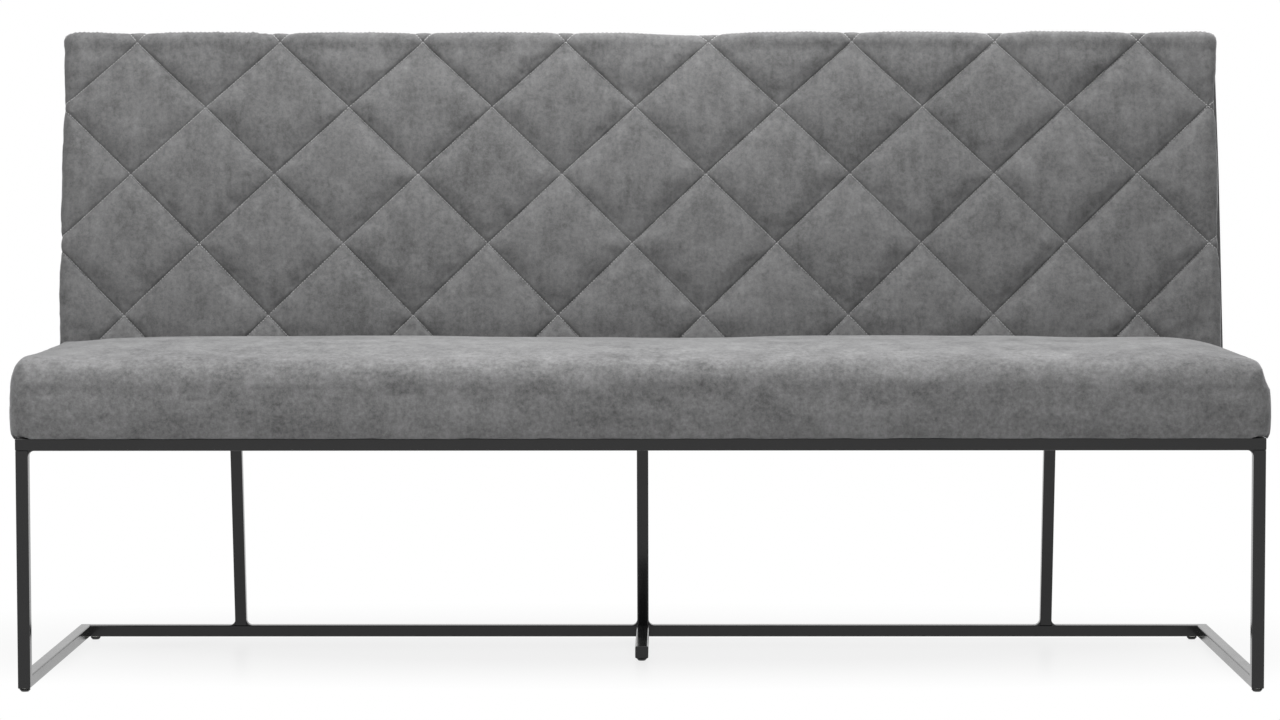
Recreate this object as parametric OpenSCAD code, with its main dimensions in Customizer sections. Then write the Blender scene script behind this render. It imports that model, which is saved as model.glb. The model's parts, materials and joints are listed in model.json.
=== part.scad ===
// Upholstered dining bench: a quilted leaning back and a crowned seat cushion
// on a welded sled frame of thin square tube. Millimetres, +Z up, front towards -Y,
// origin on the floor below the middle of the bench.

/* [Bench] */
// Width of the seat cushion and of the back
bench_w = 1800; // [1000:10:2400]
// How far the cushion stands out past the frame, at each end and in front
cushion_overhang = 5; // [0:1:15]
// Angle at which the back leans from upright
lean = 12; // [6:0.5:18]
// Length of the back panel along its slope
back_len = 585; // [450:5:700]

/* [Steel frame] */
// Height of the frame's top face above the floor
frame_top = 366; // [300:1:420]
// Depth of the seat frame, front face to rear face
seat_frame_d = 514; // [460:1:580]
// Depth of the frame on the floor, front face to rear face
floor_frame_d = 568; // [540:1:640]
// Side of the square tube
tube = 18; // [16:1:25]
// Wall of the square tube
tube_wall = 1.5; // [1:0.25:2.5]
// Outer corner radius of the square tube
tube_r = 2; // [1:0.25:3]
// Distance of the outer rear posts' centres from the ends of the frame
post_inset = 257; // [100:1:400]
// Width of the short floor runner in the middle
centre_runner_w = 20; // [18:1:30]
// Length of the short floor runner in the middle
centre_runner_len = 260; // [120:5:400]
// Radius of the weld fillets where tubes meet
fillet_r = 9; // [4:0.5:14]
// Thickness of the end caps of the middle floor runner
cap_t = 2; // [1:0.5:3]
// How far an end cap plugs into its tube
cap_plug = 6; // [4:1:7]

/* [Levelling glides] */
// Height of the tubes above the floor with the glides screwed in
glide_h = 5; // [4:0.5:12]
// Diameter of a glide's foot where it meets the tube
glide_d = 16; // [12:0.5:18]
// Diameter of a glide's foot on the floor
glide_floor_d = 12.5; // [8:0.5:16]
// Diameter of a glide's screw stem
stem_d = 5.9; // [5.4:0.1:6.4]
// Length of a glide's screw stem
stem_len = 14; // [12:0.5:14]
// Length of the threaded insert that holds a glide
insert_len = 11; // [8:0.5:12]
// Wall of the threaded insert around the stem
insert_wall = 1.5; // [1:0.25:2]
// Thickness of the threaded insert's flange
insert_flange_t = 0.8; // [0.5:0.1:1.5]
// Distance of a rear glide from the outer end of the rear floor rail
rear_glide_inset = 25; // [22:1:80]
// Distance of the middle glide from the front end of its runner
centre_glide_inset = 14; // [14:1:40]

/* [Seat] */
// Height of the cushion's top edge above the frame
seat_edge_h = 110; // [80:1:140]
// Rise of the cushion's crown above its top edge
seat_crown = 23; // [10:1:50]
// Radius of the cushion's top edge
seat_top_r = 45; // [15:1:50]
// How far the cushion reaches past the back at each end
seat_end_reach = 3; // [0:1:10]
// Width of the rounding at the cushion's ends, as a share of that at its front
end_share = 0.45; // [0.35:0.05:1]
// Radius of the cushion's bottom edge
seat_bottom_r = 8; // [4:1:12]
// How far the cushion's sides draw in above and below their fullest line
seat_bow = 2.5; // [0:0.5:6]
// Radius of the cushion's corners seen from above
seat_corner_r = 32; // [18:1:60]
// Width of cover fabric turned in below the deck
seat_turn_in = 22; // [10:1:40]
// Thickness of the plywood seat deck
deck_t = 15; // [9:1:21]
// Thickness of the cloth that closes the underside
dust_t = 0.8; // [0.5:0.1:2]
// How far the edge of that cloth lies inside the deck's edge
dust_inset = 8; // [2:1:12]

/* [Back panel] */
// Thickness of the back's timber frame
timber_t = 35; // [28:1:45]
// Width of the timber rails and stiles
timber_w = 60; // [40:1:80]
// Height of the middle rail's centre above the foot of the back
middle_rail_s = 270; // [180:5:360]
// Thickness of the plywood board on the timber frame
board_t = 5; // [3:0.5:8]
// Thickness of the foam on the board
back_foam_t = 31; // [15:1:60]
// Radius of the back panel's corners seen from the front
back_corner_r = 16; // [8:1:30]
// Radius of the rear cover's edges
rear_edge_r = 7; // [4:1:15]
// How much narrower the quilted cover is than the rear cover, at each side
seam_step = 3; // [0:0.5:6]
// Clear space from the rear cover's rounded corners to the timber's square ones
timber_gap = 0.5; // [0.5:0.5:10]

/* [Quilting] */
// Width of one diamond, corner to corner
diamond_w = 225; // [120:5:320]
// Height of the uppermost half diamond
half_diamond_h = 103.6; // [60:0.1:160]
// How much taller each lower half diamond is than the one above
half_diamond_growth = 3.2; // [0:0.1:6]
// Distance of the uppermost crossings from the top edge
quilt_top_gap = 16; // [8:1:30]
// Thickness of the quilted cover in its stitched grooves
quilt_t = 12; // [6:1:20]
// Rise of a padded diamond above its grooves
pillow_h = 9; // [3:1:14]
// Width of the rolled edge along the quilted cover's sides
side_roll = 5; // [3:1:12]

/* [Fixings] */
// Width of the flat steel bars that carry the back
upright_w = 50; // [30:1:70]
// Thickness of the flat steel bars that carry the back
upright_t = 8; // [5:0.5:10]
// Size of the seat fixing tabs, along the bench
tab_w = 40; // [25:1:60]
// Size of the seat fixing tabs, front to back
tab_d = 30; // [20:1:50]
// Thickness of the seat fixing tabs
tab_t = 3; // [2:0.5:5]
// Distance of the front row of tabs from the front of the frame
tab_front = 90; // [50:5:160]
// Distance of the rear row of tabs from the cushion's rear face
tab_rear = 80; // [50:5:160]
// Diameter of the seat screws
screw_d = 6; // [5:0.5:8]
// Diameter of the bolts through the back
bolt_d = 8; // [6:0.5:10]
// Diameter of the wooden dowels in the back frame
dowel_d = 8; // [6:1:12]
// Length of the wooden dowels in the back frame
dowel_len = 40; // [20:2:60]

/* [Fabric and fits] */
// Thickness of the cover fabric
cover_t = 2; // [1:0.25:3]
// Clearance between soft parts and what they lie on
fit_gap = 0.3; // [0.2:0.05:0.5]
// Running clearance around stems, screws and bolts
run_gap = 0.05; // [0.02:0.01:0.1]
// Clearance between the cushion and the quilted back
back_gap = 1.5; // [0.5:0.5:5]

/* [Hidden] */
$fn = 48;
far = 4000;

// Frame: where its tubes lie
frame_w = bench_w - 2 * cushion_overhang;
apron_z = frame_top - tube;
runner_top = glide_h + tube;
rear_rail_y = seat_frame_d - tube;
floor_rail_y = floor_frame_d - tube;
post_y_top = seat_frame_d - tube / 2;
post_y_foot = floor_frame_d - tube / 2;
post_rake = atan((post_y_foot - post_y_top) / (apron_z - runner_top));
centre_runner_front = floor_frame_d - centre_runner_len;
post_x = frame_w / 2 - post_inset;
post_places = [-post_x, 0, post_x];

// Glides: a screw stem in a flanged insert, the foot just clear of the flange
insert_r = stem_d / 2 + run_gap + insert_wall;
insert_flange_r = insert_r + 1.5;
glide_gap = 0.1;
foot_h = glide_h - insert_flange_t - glide_gap;
foot_edge_r = 1;
glide_x = frame_w / 2 - tube / 2;
glide_places = [
  [-glide_x, tube / 2], [glide_x, tube / 2],
  [rear_glide_inset - frame_w / 2, post_y_foot], [frame_w / 2 - rear_glide_inset, post_y_foot],
  [0, centre_runner_front + centre_glide_inset]
];

// Back: layers counted forward from the rear face, t, and up the slope, s
bolt_head_h = 5;
washer_t = 1.5;
upright_t0 = cover_t + fit_gap + bolt_head_h + washer_t + 0.5;
timber_t0 = cover_t + fit_gap;
board_t0 = timber_t0 + timber_t + fit_gap;
foam_t0 = board_t0 + board_t + fit_gap;
quilt_t0 = foam_t0 + back_foam_t + fit_gap;
back_t = quilt_t0 + quilt_t + pillow_h;
back_foot_y = post_y_top + (upright_t0 + upright_t / 2) / cos(lean);
back_foot_z = frame_top + fit_gap;

// Back: timber frame and the bars that it is bolted to
timber_inset = rear_edge_r + (1 - sqrt(0.5)) * (back_corner_r - rear_edge_r) + timber_gap;
timber_half = bench_w / 2 - timber_inset;
stile_x = timber_half - timber_w;
rail_centres = [timber_inset + timber_w / 2, middle_rail_s, back_len - timber_inset - timber_w / 2];
upright_end_s = middle_rail_s + timber_w / 2 - 8;
bolt_rows = [rail_centres[0], rail_centres[1]];
bolt_hole_r = bolt_d / 2 + 0.4;
bolt_nut_r = bolt_d / 2 + 1.2;
nut_flange_t = 1.5;
inner_stile_x = post_x / 2;

// Seat: heights and the line of its leaning rear face
dust_z = frame_top + 0.2;
seat_z0 = dust_z + dust_t + 0.2;
deck_z = seat_z0 + cover_t + fit_gap;
deck_top = deck_z + deck_t;
foam_z = deck_top + fit_gap;
seat_front = -cushion_overhang;
seat_arc_z = frame_top + seat_edge_h - seat_top_r * cos(18);
deck_inset = seat_bow + seat_bottom_r;
screw_head_h = 4;
screw_hole_r = screw_d / 2 + 0.3;
screw_nut_r = screw_d / 2 + 1;
function seat_rear(z) =
  back_foot_y - (back_t + back_gap) / cos(lean) + (z - frame_top) * tan(lean);

// Seat: a tab row near the front and one near the rear, on each of the five rails
tab_rows = [tab_front, seat_rear(frame_top) - tab_rear];
rail_sides = [
  [-frame_w / 2 + tube, 1], [-post_x + tube / 2, 1], [tube / 2, 1],
  [post_x - tube / 2, -1], [frame_w / 2 - tube, -1]
];
tab_places = [for (r = rail_sides) for (y = tab_rows) [r[0] + r[1] * tab_w / 2, y]];

// Middle of the bench, front to back, which the origin lies under
rear_profile = edge_profile(0, rear_edge_r, 4, quilt_t0 - fit_gap);
back_rear_y = max([for (p = rear_profile)
  back_foot_y + (back_len - p[0]) * sin(lean) - p[1] * cos(lean)]);
origin_y = (seat_front + back_rear_y) / 2;

module centred() {
  translate([0, -origin_y, 0]) children();
}

// Children are drawn with Y = -t and Z = s, on the leaning back
module on_back() {
  centred() translate([0, back_foot_y, back_foot_z]) rotate([-lean, 0, 0]) children();
}

// Square tube

module tube_section(w, h) {
  difference() {
    union() {
      translate([tube_r, 0]) square([w - 2 * tube_r, h]);
      translate([0, tube_r]) square([w, h - 2 * tube_r]);
      for (x = [tube_r, w - tube_r]) for (y = [tube_r, h - tube_r])
        translate([x, y]) circle(r = tube_r, $fn = 32);
    }
    translate([tube_wall, tube_wall]) square([w - 2 * tube_wall, h - 2 * tube_wall]);
  }
}

// Removes what lies beyond a 45 degree mitre at the start of a tube along X.
// The long side of the mitre is "y0", "y1", "z0" or "z1".
module mitre_cut(long_side) {
  module wedge() {
    rotate([0, 0, 45]) translate([-2 * tube, 0, -tube]) cube([6 * tube, 3 * tube, 3 * tube]);
  }
  if (long_side == "y0") wedge();
  if (long_side == "y1") translate([0, tube, 0]) mirror([0, 1, 0]) wedge();
  if (long_side == "z0") mirror([0, 1, -1]) wedge();
  if (long_side == "z1") translate([0, 0, tube]) mirror([0, 0, 1]) mirror([0, 1, -1]) wedge();
}

// Tube along +X from the origin, with Y and Z from 0 to its size
module square_tube(length, start = "square", end = "square", w = tube) {
  difference() {
    rotate([90, 0, 90]) linear_extrude(length) tube_section(w, tube);
    if (start != "square") mitre_cut(start);
    if (end != "square") translate([length, 0, 0]) mirror([1, 0, 0]) mitre_cut(end);
  }
}

module steel() {
  color([0.16, 0.16, 0.165]) centred() children();
}

// Sled frame

module leg() {
  translate([-frame_w / 2 + tube, 0, glide_h]) rotate([0, -90, 0])
    square_tube(apron_z - glide_h, start = "y0");
}

module side_apron_rail() {
  translate([-frame_w / 2 + tube, 0, apron_z]) rotate([0, 0, 90])
    square_tube(seat_frame_d, start = "y1", end = "y1");
}

module side_runner() {
  difference() {
    translate([-frame_w / 2 + tube, 0, glide_h]) rotate([0, 0, 90])
      square_tube(floor_frame_d, start = "z0", end = "y1");
    insert_hole(glide_places[0]);
  }
}

module rear_rail_half() {
  difference() {
    translate([-frame_w / 2, floor_rail_y, glide_h])
      square_tube((frame_w - centre_runner_w) / 2, start = "y1");
    insert_hole(glide_places[2]);
  }
}

module insert_hole(place) {
  translate([place[0], place[1], glide_h - 1])
    cylinder(r = insert_r + run_gap, h = tube_wall + 2);
}

module cross_rail(x) {
  translate([x + tube / 2, tube, apron_z]) rotate([0, 0, 90])
    square_tube(rear_rail_y - tube);
}

// Raked post, cut level where it meets the floor rail and the seat frame
module post(x) {
  run = apron_z - runner_top;
  difference() {
    translate([x + tube / 2, post_y_foot, runner_top]) rotate([post_rake, 0, 0])
      translate([0, -tube / 2, -2 * tube]) rotate([0, -90, 0])
      square_tube(run / cos(post_rake) + 4 * tube);
    translate([x - far / 2, -far / 2, runner_top - far]) cube(far);
    translate([x - far / 2, -far / 2, apron_z]) cube(far);
  }
}

module front_left_leg() steel() leg();
module front_right_leg() steel() mirror([1, 0, 0]) leg();
module left_apron_rail() steel() side_apron_rail();
module right_apron_rail() steel() mirror([1, 0, 0]) side_apron_rail();
module left_floor_runner() steel() side_runner();
module right_floor_runner() steel() mirror([1, 0, 0]) side_runner();
module rear_floor_rail_left() steel() rear_rail_half();
module rear_floor_rail_right() steel() mirror([1, 0, 0]) rear_rail_half();
module left_cross_rail() steel() cross_rail(post_places[0]);
module centre_cross_rail() steel() cross_rail(post_places[1]);
module right_cross_rail() steel() cross_rail(post_places[2]);
module rear_left_post() steel() post(post_places[0]);
module rear_centre_post() steel() post(post_places[1]);
module rear_right_post() steel() post(post_places[2]);

module front_apron_rail() steel()
  translate([-frame_w / 2, 0, apron_z]) square_tube(frame_w, start = "y0", end = "y0");

module rear_apron_rail() steel()
  translate([-frame_w / 2, rear_rail_y, apron_z]) square_tube(frame_w, start = "y1", end = "y1");

module centre_floor_runner() steel() difference() {
  translate([centre_runner_w / 2, centre_runner_front + cap_t, glide_h]) rotate([0, 0, 90])
    square_tube(centre_runner_len - 2 * cap_t, w = centre_runner_w);
  insert_hole(glide_places[4]);
}

// One end cap: a plate over the tube's end and a plug inside it
module end_cap() {
  plug_gap = 0.1;
  bore = tube_wall + plug_gap;
  inside = bore + tube_wall;
  translate([-centre_runner_w / 2, 0, 0]) {
    rotate([90, 0, 0]) mirror([0, 0, 1]) linear_extrude(cap_t) union() {
      translate([tube_r, 0]) square([centre_runner_w - 2 * tube_r, tube]);
      translate([0, tube_r]) square([centre_runner_w, tube - 2 * tube_r]);
      for (x = [tube_r, centre_runner_w - tube_r]) for (y = [tube_r, tube - tube_r])
        translate([x, y]) circle(r = tube_r, $fn = 32);
    }
    translate([bore, cap_t - 0.01, bore]) difference() {
      cube([centre_runner_w - 2 * bore, cap_plug, tube - 2 * bore]);
      translate([tube_wall, 0.01, tube_wall])
        cube([centre_runner_w - 2 * inside, cap_plug + 1, tube - 2 * inside]);
    }
  }
}

module runner_end_caps() color([0.1, 0.1, 0.1]) centred() {
  translate([0, centre_runner_front, glide_h]) end_cap();
  translate([0, floor_frame_d, glide_h]) mirror([0, 1, 0]) end_cap();
}

// Concave fillet in the corner between +X and +Z, running along Y
module fillet(r, width) {
  translate([0, width / 2, 0]) rotate([90, 0, 0]) linear_extrude(width) difference() {
    square(r);
    translate([r, r]) circle(r = r - 0.01);
  }
}

module weld_fillets() steel() {
  seam = tube - 2 * tube_r;
  for (side = [0, 1]) mirror([side, 0, 0])
    translate([-frame_w / 2 + tube, tube / 2, apron_z]) mirror([0, 0, 1]) fillet(fillet_r, seam);
  for (x = post_places) for (side = [0, 1])
    translate([x, 0, 0]) mirror([side, 0, 0]) {
      translate([tube / 2, post_y_foot - 1, runner_top]) fillet(fillet_r, seam - 2);
      translate([tube / 2, post_y_top + 1, apron_z]) mirror([0, 0, 1]) fillet(fillet_r / 3, seam - 2);
    }
}

module seat_fixing_tabs() steel()
  for (p = tab_places) difference() {
    translate([p[0] - tab_w / 2, p[1] - tab_d / 2, frame_top - tab_t]) cube([tab_w, tab_d, tab_t]);
    translate([p[0], p[1], frame_top - tab_t - 1]) cylinder(r = screw_hole_r, h = tab_t + 2);
  }

// Flat bar welded upright on the rear of the seat frame, inside the back
module back_upright(x) color([0.16, 0.16, 0.165]) difference() {
  on_back() difference() {
    translate([x - upright_w / 2, -upright_t0 - upright_t, -2 * upright_t])
      cube([upright_w, upright_t, upright_end_s + 2 * upright_t]);
    for (s = bolt_rows)
      translate([x, -upright_t0 + 1, s]) rotate([90, 0, 0])
        cylinder(r = bolt_hole_r, h = upright_t + 2);
  }
  translate([x - far / 2, -far / 2, frame_top - far]) cube(far);
}

module back_upright_left() back_upright(post_places[0]);
module back_upright_centre() back_upright(post_places[1]);
module back_upright_right() back_upright(post_places[2]);

// Levelling glides

module glide_inserts() color([0.75, 0.75, 0.7]) centred()
  for (p = glide_places) translate([p[0], p[1], glide_h]) rotate_extrude() {
    bore = stem_d / 2 + run_gap;
    translate([bore, -insert_flange_t]) square([insert_wall, insert_len]);
    translate([bore, -insert_flange_t]) square([insert_flange_r - bore, insert_flange_t]);
  }

module glide(index) color([0.1, 0.1, 0.1]) centred()
  translate([glide_places[index][0], glide_places[index][1], 0]) rotate_extrude() union() {
    polygon(concat(
      [[0, 0], [glide_floor_d / 2 - foot_edge_r, 0], [glide_floor_d / 2, foot_edge_r]],
      [[glide_d / 2, foot_h - foot_edge_r], [glide_d / 2 - foot_edge_r, foot_h], [0, foot_h]]));
    square([stem_d / 2, foot_h + stem_len]);
  }

module front_left_glide() glide(0);
module front_right_glide() glide(1);
module rear_left_glide() glide(2);
module rear_right_glide() glide(3);
module centre_glide() glide(4);

// Soft forms: closed loops of points at rising heights, joined by triangles

// Evenly spaced steps from a to b, without b
function steps(a, b, n) = [for (i = [0 : n - 1]) a + (b - a) * i / n];

// Rounded rectangle, anticlockwise from the front left corner, as [x, y] points
function ring(x0, x1, y0, y1, r, n_long, n_short, n_corner) = concat(
  [for (a = steps(180, 270, n_corner)) [x0 + r + r * cos(a), y0 + r + r * sin(a)]],
  [for (x = steps(x0 + r, x1 - r, n_long)) [x, y0]],
  [for (a = steps(270, 360, n_corner)) [x1 - r + r * cos(a), y0 + r + r * sin(a)]],
  [for (y = steps(y0 + r, y1 - r, n_short)) [x1, y]],
  [for (a = steps(0, 90, n_corner)) [x1 - r + r * cos(a), y1 - r + r * sin(a)]],
  [for (x = steps(x1 - r, x0 + r, n_long)) [x, y1]],
  [for (a = steps(90, 180, n_corner)) [x0 + r + r * cos(a), y1 - r + r * sin(a)]],
  [for (y = steps(y1 - r, y0 + r, n_short)) [x0, y]]);

// Two triangles for each side of the band between two loops of n points
function band(a, b, n) = [for (i = [0 : n - 1]) let (j = (i + 1) % n)
  each [[a + i, b + i, b + j], [a + i, b + j, a + j]]];

// Triangles that close loop a of n points at point c, seen from the loop's far side
function cap(a, n, c) = [for (i = [0 : n - 1]) [c, a + i, a + (i + 1) % n]];
function flipped(faces) = [for (f = faces) [f[0], f[2], f[1]]];
function middle(loop) = [for (k = [0 : 2]) let (v = [for (p = loop) p[k]])
  (min(v) + max(v)) / 2];

// Solid between a first and a last loop, with every loop wound the same way
module loft(loops) {
  n = len(loops[0]);
  last = len(loops) - 1;
  count = n * len(loops);
  polyhedron(
    points = concat([for (l = loops) each l], [middle(loops[0]), middle(loops[last])]),
    faces = concat(
      cap(0, n, count),
      [for (k = [0 : last - 1]) each band(k * n, (k + 1) * n, n)],
      flipped(cap(last * n, n, count + 1))),
    convexity = 6);
}

// Skin between an outer stack of loops, rim first, and an inner one
module loft_skin(outer, inner) {
  n = len(outer[0]);
  o = len(outer);
  stack = concat(outer, [for (k = [len(inner) - 1 : -1 : 0]) inner[k]]);
  total = len(stack);
  polyhedron(
    points = concat([for (l = stack) each l], [middle(stack[o - 1]), middle(stack[o])]),
    faces = concat(
      [for (k = [0 : o - 2]) each band(k * n, (k + 1) * n, n)],
      flipped(cap((o - 1) * n, n, total * n)),
      cap(o * n, n, total * n + 1),
      [for (k = [o : total - 2]) each band(k * n, (k + 1) * n, n)],
      band((total - 1) * n, 0, n)),
    convexity = 6);
}

// Seat cushion

// [inset, height] pairs up the cushion's side and over its top edge and crown,
// for a surface lying g inside the cushion's outside
function seat_side(g, n_side) = [for (i = [0 : n_side]) let (v = i / n_side)
  [g + seat_bow * pow(2 * v - 1, 2),
   seat_z0 + seat_bottom_r + v * (seat_arc_z - seat_z0 - seat_bottom_r)]];

function seat_top(g, n_arc, n_crown) = let (
  half = (seat_rear(seat_arc_z) - seat_front) / 2 - 12,
  arc_in = seat_bow + seat_top_r,
  slope = atan(2 * seat_crown / (half - arc_in)),
  r = seat_top_r - g,
  arc_end = [arc_in - r * sin(slope), seat_arc_z + r * cos(slope)])
  concat(
    [for (i = [1 : n_arc]) let (a = (90 - slope) * i / n_arc)
      [arc_in - r * cos(a), seat_arc_z + r * sin(a)]],
    [for (i = [1 : n_crown]) let (u = i / n_crown)
      [arc_end[0] + (half - arc_end[0]) * u, arc_end[1] + seat_crown * (1 - pow(1 - u, 2))]]);

function seat_bottom(g, n_arc) = let (r = seat_bottom_r - g)
  [for (i = [0 : n_arc - 1]) let (a = 90 * i / n_arc)
    [seat_bow + seat_bottom_r - r * sin(a), seat_z0 + seat_bottom_r - r * cos(a)]];

// Loop at a height, for a surface lying g inside. A turned-in rim keeps its full
// width at the ends, where the rest of the profile is narrower.
function seat_end(inset, g, turned = 0) =
  bench_w / 2 + seat_end_reach - g - (inset - g - turned) * end_share - turned;

function seat_loop(inset, z, g, turned = 0) = let (
  x = seat_end(inset, g, turned),
  y0 = seat_front + inset,
  y1 = seat_rear(z) - inset,
  r = min(max(seat_corner_r - inset, seat_corner_r / 2), (y1 - y0) / 2 - 1))
  [for (p = ring(-x, x, y0, y1, r, 8, 3, 4)) [p[0], p[1], z]];

function seat_loops(profile, g) = [for (p = profile) seat_loop(p[0], p[1], g)];

module seat_cover() color([0.44, 0.44, 0.44]) centred() {
  rim = seat_bow + seat_bottom_r + seat_turn_in;
  loft_skin(
    concat([seat_loop(rim, seat_z0, 0, seat_turn_in)],
      seat_loops(concat(seat_bottom(0, 3), seat_side(0, 4), seat_top(0, 5, 5)), 0)),
    concat([seat_loop(rim, seat_z0 + cover_t, cover_t, seat_turn_in)],
      seat_loops(concat(seat_bottom(cover_t, 1), seat_side(cover_t, 2),
        seat_top(cover_t, 3, 3)), cover_t)));
}

module seat_foam() color([0.9, 0.85, 0.7]) centred() {
  g = cover_t + fit_gap;
  profile = concat(seat_side(g, 2), seat_top(g, 3, 3));
  loft(concat(
    [seat_loop(g + seat_bow, foam_z, g)],
    seat_loops([for (p = profile) if (p[1] > foam_z + 1) p], g)));
}

module deck_outline(inset) {
  x = seat_end(inset, cover_t + fit_gap);
  y0 = seat_front + inset;
  y1 = seat_rear(deck_z) - inset;
  r = seat_corner_r;
  translate([-x + r, y0]) square([2 * x - 2 * r, y1 - y0]);
  translate([-x, y0 + r]) square([2 * x, y1 - y0 - 2 * r]);
  for (cx = [-x + r, x - r]) for (cy = [y0 + r, y1 - r]) translate([cx, cy]) circle(r = r);
}

module seat_deck() color([0.8, 0.68, 0.48]) centred() difference() {
  translate([0, 0, deck_z]) linear_extrude(deck_t) deck_outline(deck_inset);
  for (p = tab_places) translate([p[0], p[1], 0]) {
    translate([0, 0, deck_z - 1]) cylinder(r = screw_nut_r + run_gap, h = deck_t + 2);
    translate([0, 0, deck_top - nut_flange_t - 0.1]) cylinder(r = 2 * screw_d, h = nut_flange_t + 1);
  }
}

module seat_dust_cover() color([0.12, 0.12, 0.12]) centred() difference() {
  translate([0, 0, dust_z]) linear_extrude(dust_t) deck_outline(deck_inset + dust_inset);
  for (p = tab_places) translate([p[0], p[1], dust_z - 1]) cylinder(r = screw_hole_r, h = dust_t + 2);
}

// Screw along +Z with a hexagon head below the origin
module hex_screw(d, length, head_h) {
  translate([0, 0, -head_h]) cylinder(r = 0.9 * d, h = head_h, $fn = 6);
  translate([0, 0, -0.01]) cylinder(r = d / 2 - run_gap, h = length + 0.01);
}

// Tee nut with its flange's top face at the origin and its barrel along -Z
module tee_nut(d, barrel_r, flange_r, length) {
  difference() {
    union() {
      translate([0, 0, -length]) cylinder(r = barrel_r, h = length);
      translate([0, 0, -nut_flange_t]) cylinder(r = flange_r, h = nut_flange_t);
    }
    translate([0, 0, -length - 1]) cylinder(r = d / 2, h = length + 2);
  }
}

module seat_screws() color([0.7, 0.7, 0.72]) centred()
  for (p = tab_places) translate([p[0], p[1], frame_top - tab_t])
    hex_screw(screw_d, deck_top - frame_top + tab_t - 1, screw_head_h);

module seat_tee_nuts() color([0.75, 0.72, 0.6]) centred()
  for (p = tab_places) translate([p[0], p[1], deck_top])
    tee_nut(screw_d, screw_nut_r, 2 * screw_d - 0.3, deck_t * 0.7);

// Timber frame of the back

module timber() {
  color([0.82, 0.7, 0.5]) on_back() children();
}

// Member of the timber frame, from x0 to x1 and s0 to s1
module timber_bar(x0, x1, s0, s1) {
  translate([x0, -timber_t0 - timber_t, s0]) cube([x1 - x0, timber_t, s1 - s0]);
}

module dowel_places(gap = 0) {
  for (side = [-1, 1]) for (s = rail_centres) for (step = [-1, 1])
    translate([side * stile_x, -timber_t0 - timber_t / 2, s + step * timber_w / 4])
      rotate([0, 90, 0]) cylinder(r = dowel_d / 2 + gap, h = dowel_len + 2 * gap, center = true);
}

// Notch for an upright, its bolt's head and its tee nut, through a rail at height s
module upright_notch(x, s) {
  deep = upright_t0 + upright_t + fit_gap;
  end_s = min(s + timber_w, upright_end_s + 1);
  translate([x - upright_w / 2 - fit_gap, -deep, s - timber_w])
    cube([upright_w + 2 * fit_gap, deep, end_s - s + timber_w]);
  translate([x, 0, s]) rotate([90, 0, 0])
    cylinder(r = bolt_nut_r + run_gap, h = timber_t0 + timber_t + 1);
  translate([x, -timber_t0 - timber_t + nut_flange_t + 0.1, s]) rotate([90, 0, 0])
    cylinder(r = 1.6 * bolt_d, h = nut_flange_t + 1);
}

module back_rail(s) {
  difference() {
    timber_bar(-stile_x, stile_x, s - timber_w / 2, s + timber_w / 2);
    dowel_places(run_gap);
    if (s < back_len / 2 + timber_w) for (x = post_places) upright_notch(x, s);
  }
}

module back_bottom_rail() timber() back_rail(rail_centres[0]);
module back_middle_rail() timber() back_rail(rail_centres[1]);

module back_top_rail() timber() difference() {
  timber_bar(-stile_x, stile_x, rail_centres[2] - timber_w / 2, rail_centres[2] + timber_w / 2);
  dowel_places(run_gap);
}

module back_left_stile() timber() difference() {
  timber_bar(-timber_half, -stile_x, timber_inset, back_len - timber_inset);
  dowel_places(run_gap);
}

module back_right_stile() timber() difference() {
  timber_bar(stile_x, timber_half, timber_inset, back_len - timber_inset);
  dowel_places(run_gap);
}

module back_inner_stiles() timber()
  for (x = [-inner_stile_x, inner_stile_x]) for (k = [0, 1])
    timber_bar(x - timber_w / 2, x + timber_w / 2,
      rail_centres[k] + timber_w / 2, rail_centres[k + 1] - timber_w / 2);

module back_frame_dowels() timber() dowel_places();

module back_board() timber()
  translate([-timber_half, -board_t0 - board_t, timber_inset])
    cube([2 * timber_half, board_t, back_len - 2 * timber_inset]);

module back_foam() color([0.9, 0.85, 0.7]) on_back() {
  inset = cover_t + fit_gap;
  x = bench_w / 2 - inset;
  r = back_corner_r - inset;
  translate([0, -foam_t0, 0]) rotate([90, 0, 0]) linear_extrude(back_foam_t) {
    translate([-x + r, inset]) square([2 * x - 2 * r, back_len - 2 * inset]);
    translate([-x, inset + r]) square([2 * x, back_len - 2 * inset - 2 * r]);
    for (cx = [-x + r, x - r]) for (cs = [inset + r, back_len - inset - r])
      translate([cx, cs]) circle(r = r);
  }
}

module bolt_spots() {
  for (x = post_places) for (s = bolt_rows) translate([x, 0, s]) children();
}

module back_bolts() color([0.7, 0.7, 0.72]) on_back() bolt_spots()
  translate([0, -upright_t0 + washer_t, 0]) rotate([90, 0, 0])
    hex_screw(bolt_d, timber_t0 + timber_t - upright_t0 + washer_t - 2, bolt_head_h);

module back_washers() color([0.75, 0.75, 0.76]) on_back() bolt_spots()
  translate([0, -upright_t0 + washer_t, 0]) rotate([90, 0, 0]) difference() {
    cylinder(r = bolt_d, h = washer_t);
    translate([0, 0, -1]) cylinder(r = bolt_d / 2 + 0.2, h = washer_t + 2);
  }

module back_tee_nuts() color([0.75, 0.72, 0.6]) on_back() bolt_spots()
  translate([0, -timber_t0 - timber_t, 0]) rotate([90, 0, 0])
    tee_nut(bolt_d, bolt_nut_r, 1.6 * bolt_d - 0.3,
      timber_t0 + timber_t - upright_t0 - upright_t - fit_gap - 1);

// Rear cover: a fabric tray over the back's rear, sides, top and foot

// [inset, t] pairs from the rim at t1 round the rear edge, for a surface g inside
function edge_profile(g, r, n, t1) = concat(
  [[g, t1]],
  [for (i = [0 : n]) let (a = 90 * i / n) [r - (r - g) * cos(a), r - (r - g) * sin(a)]]);

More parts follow.
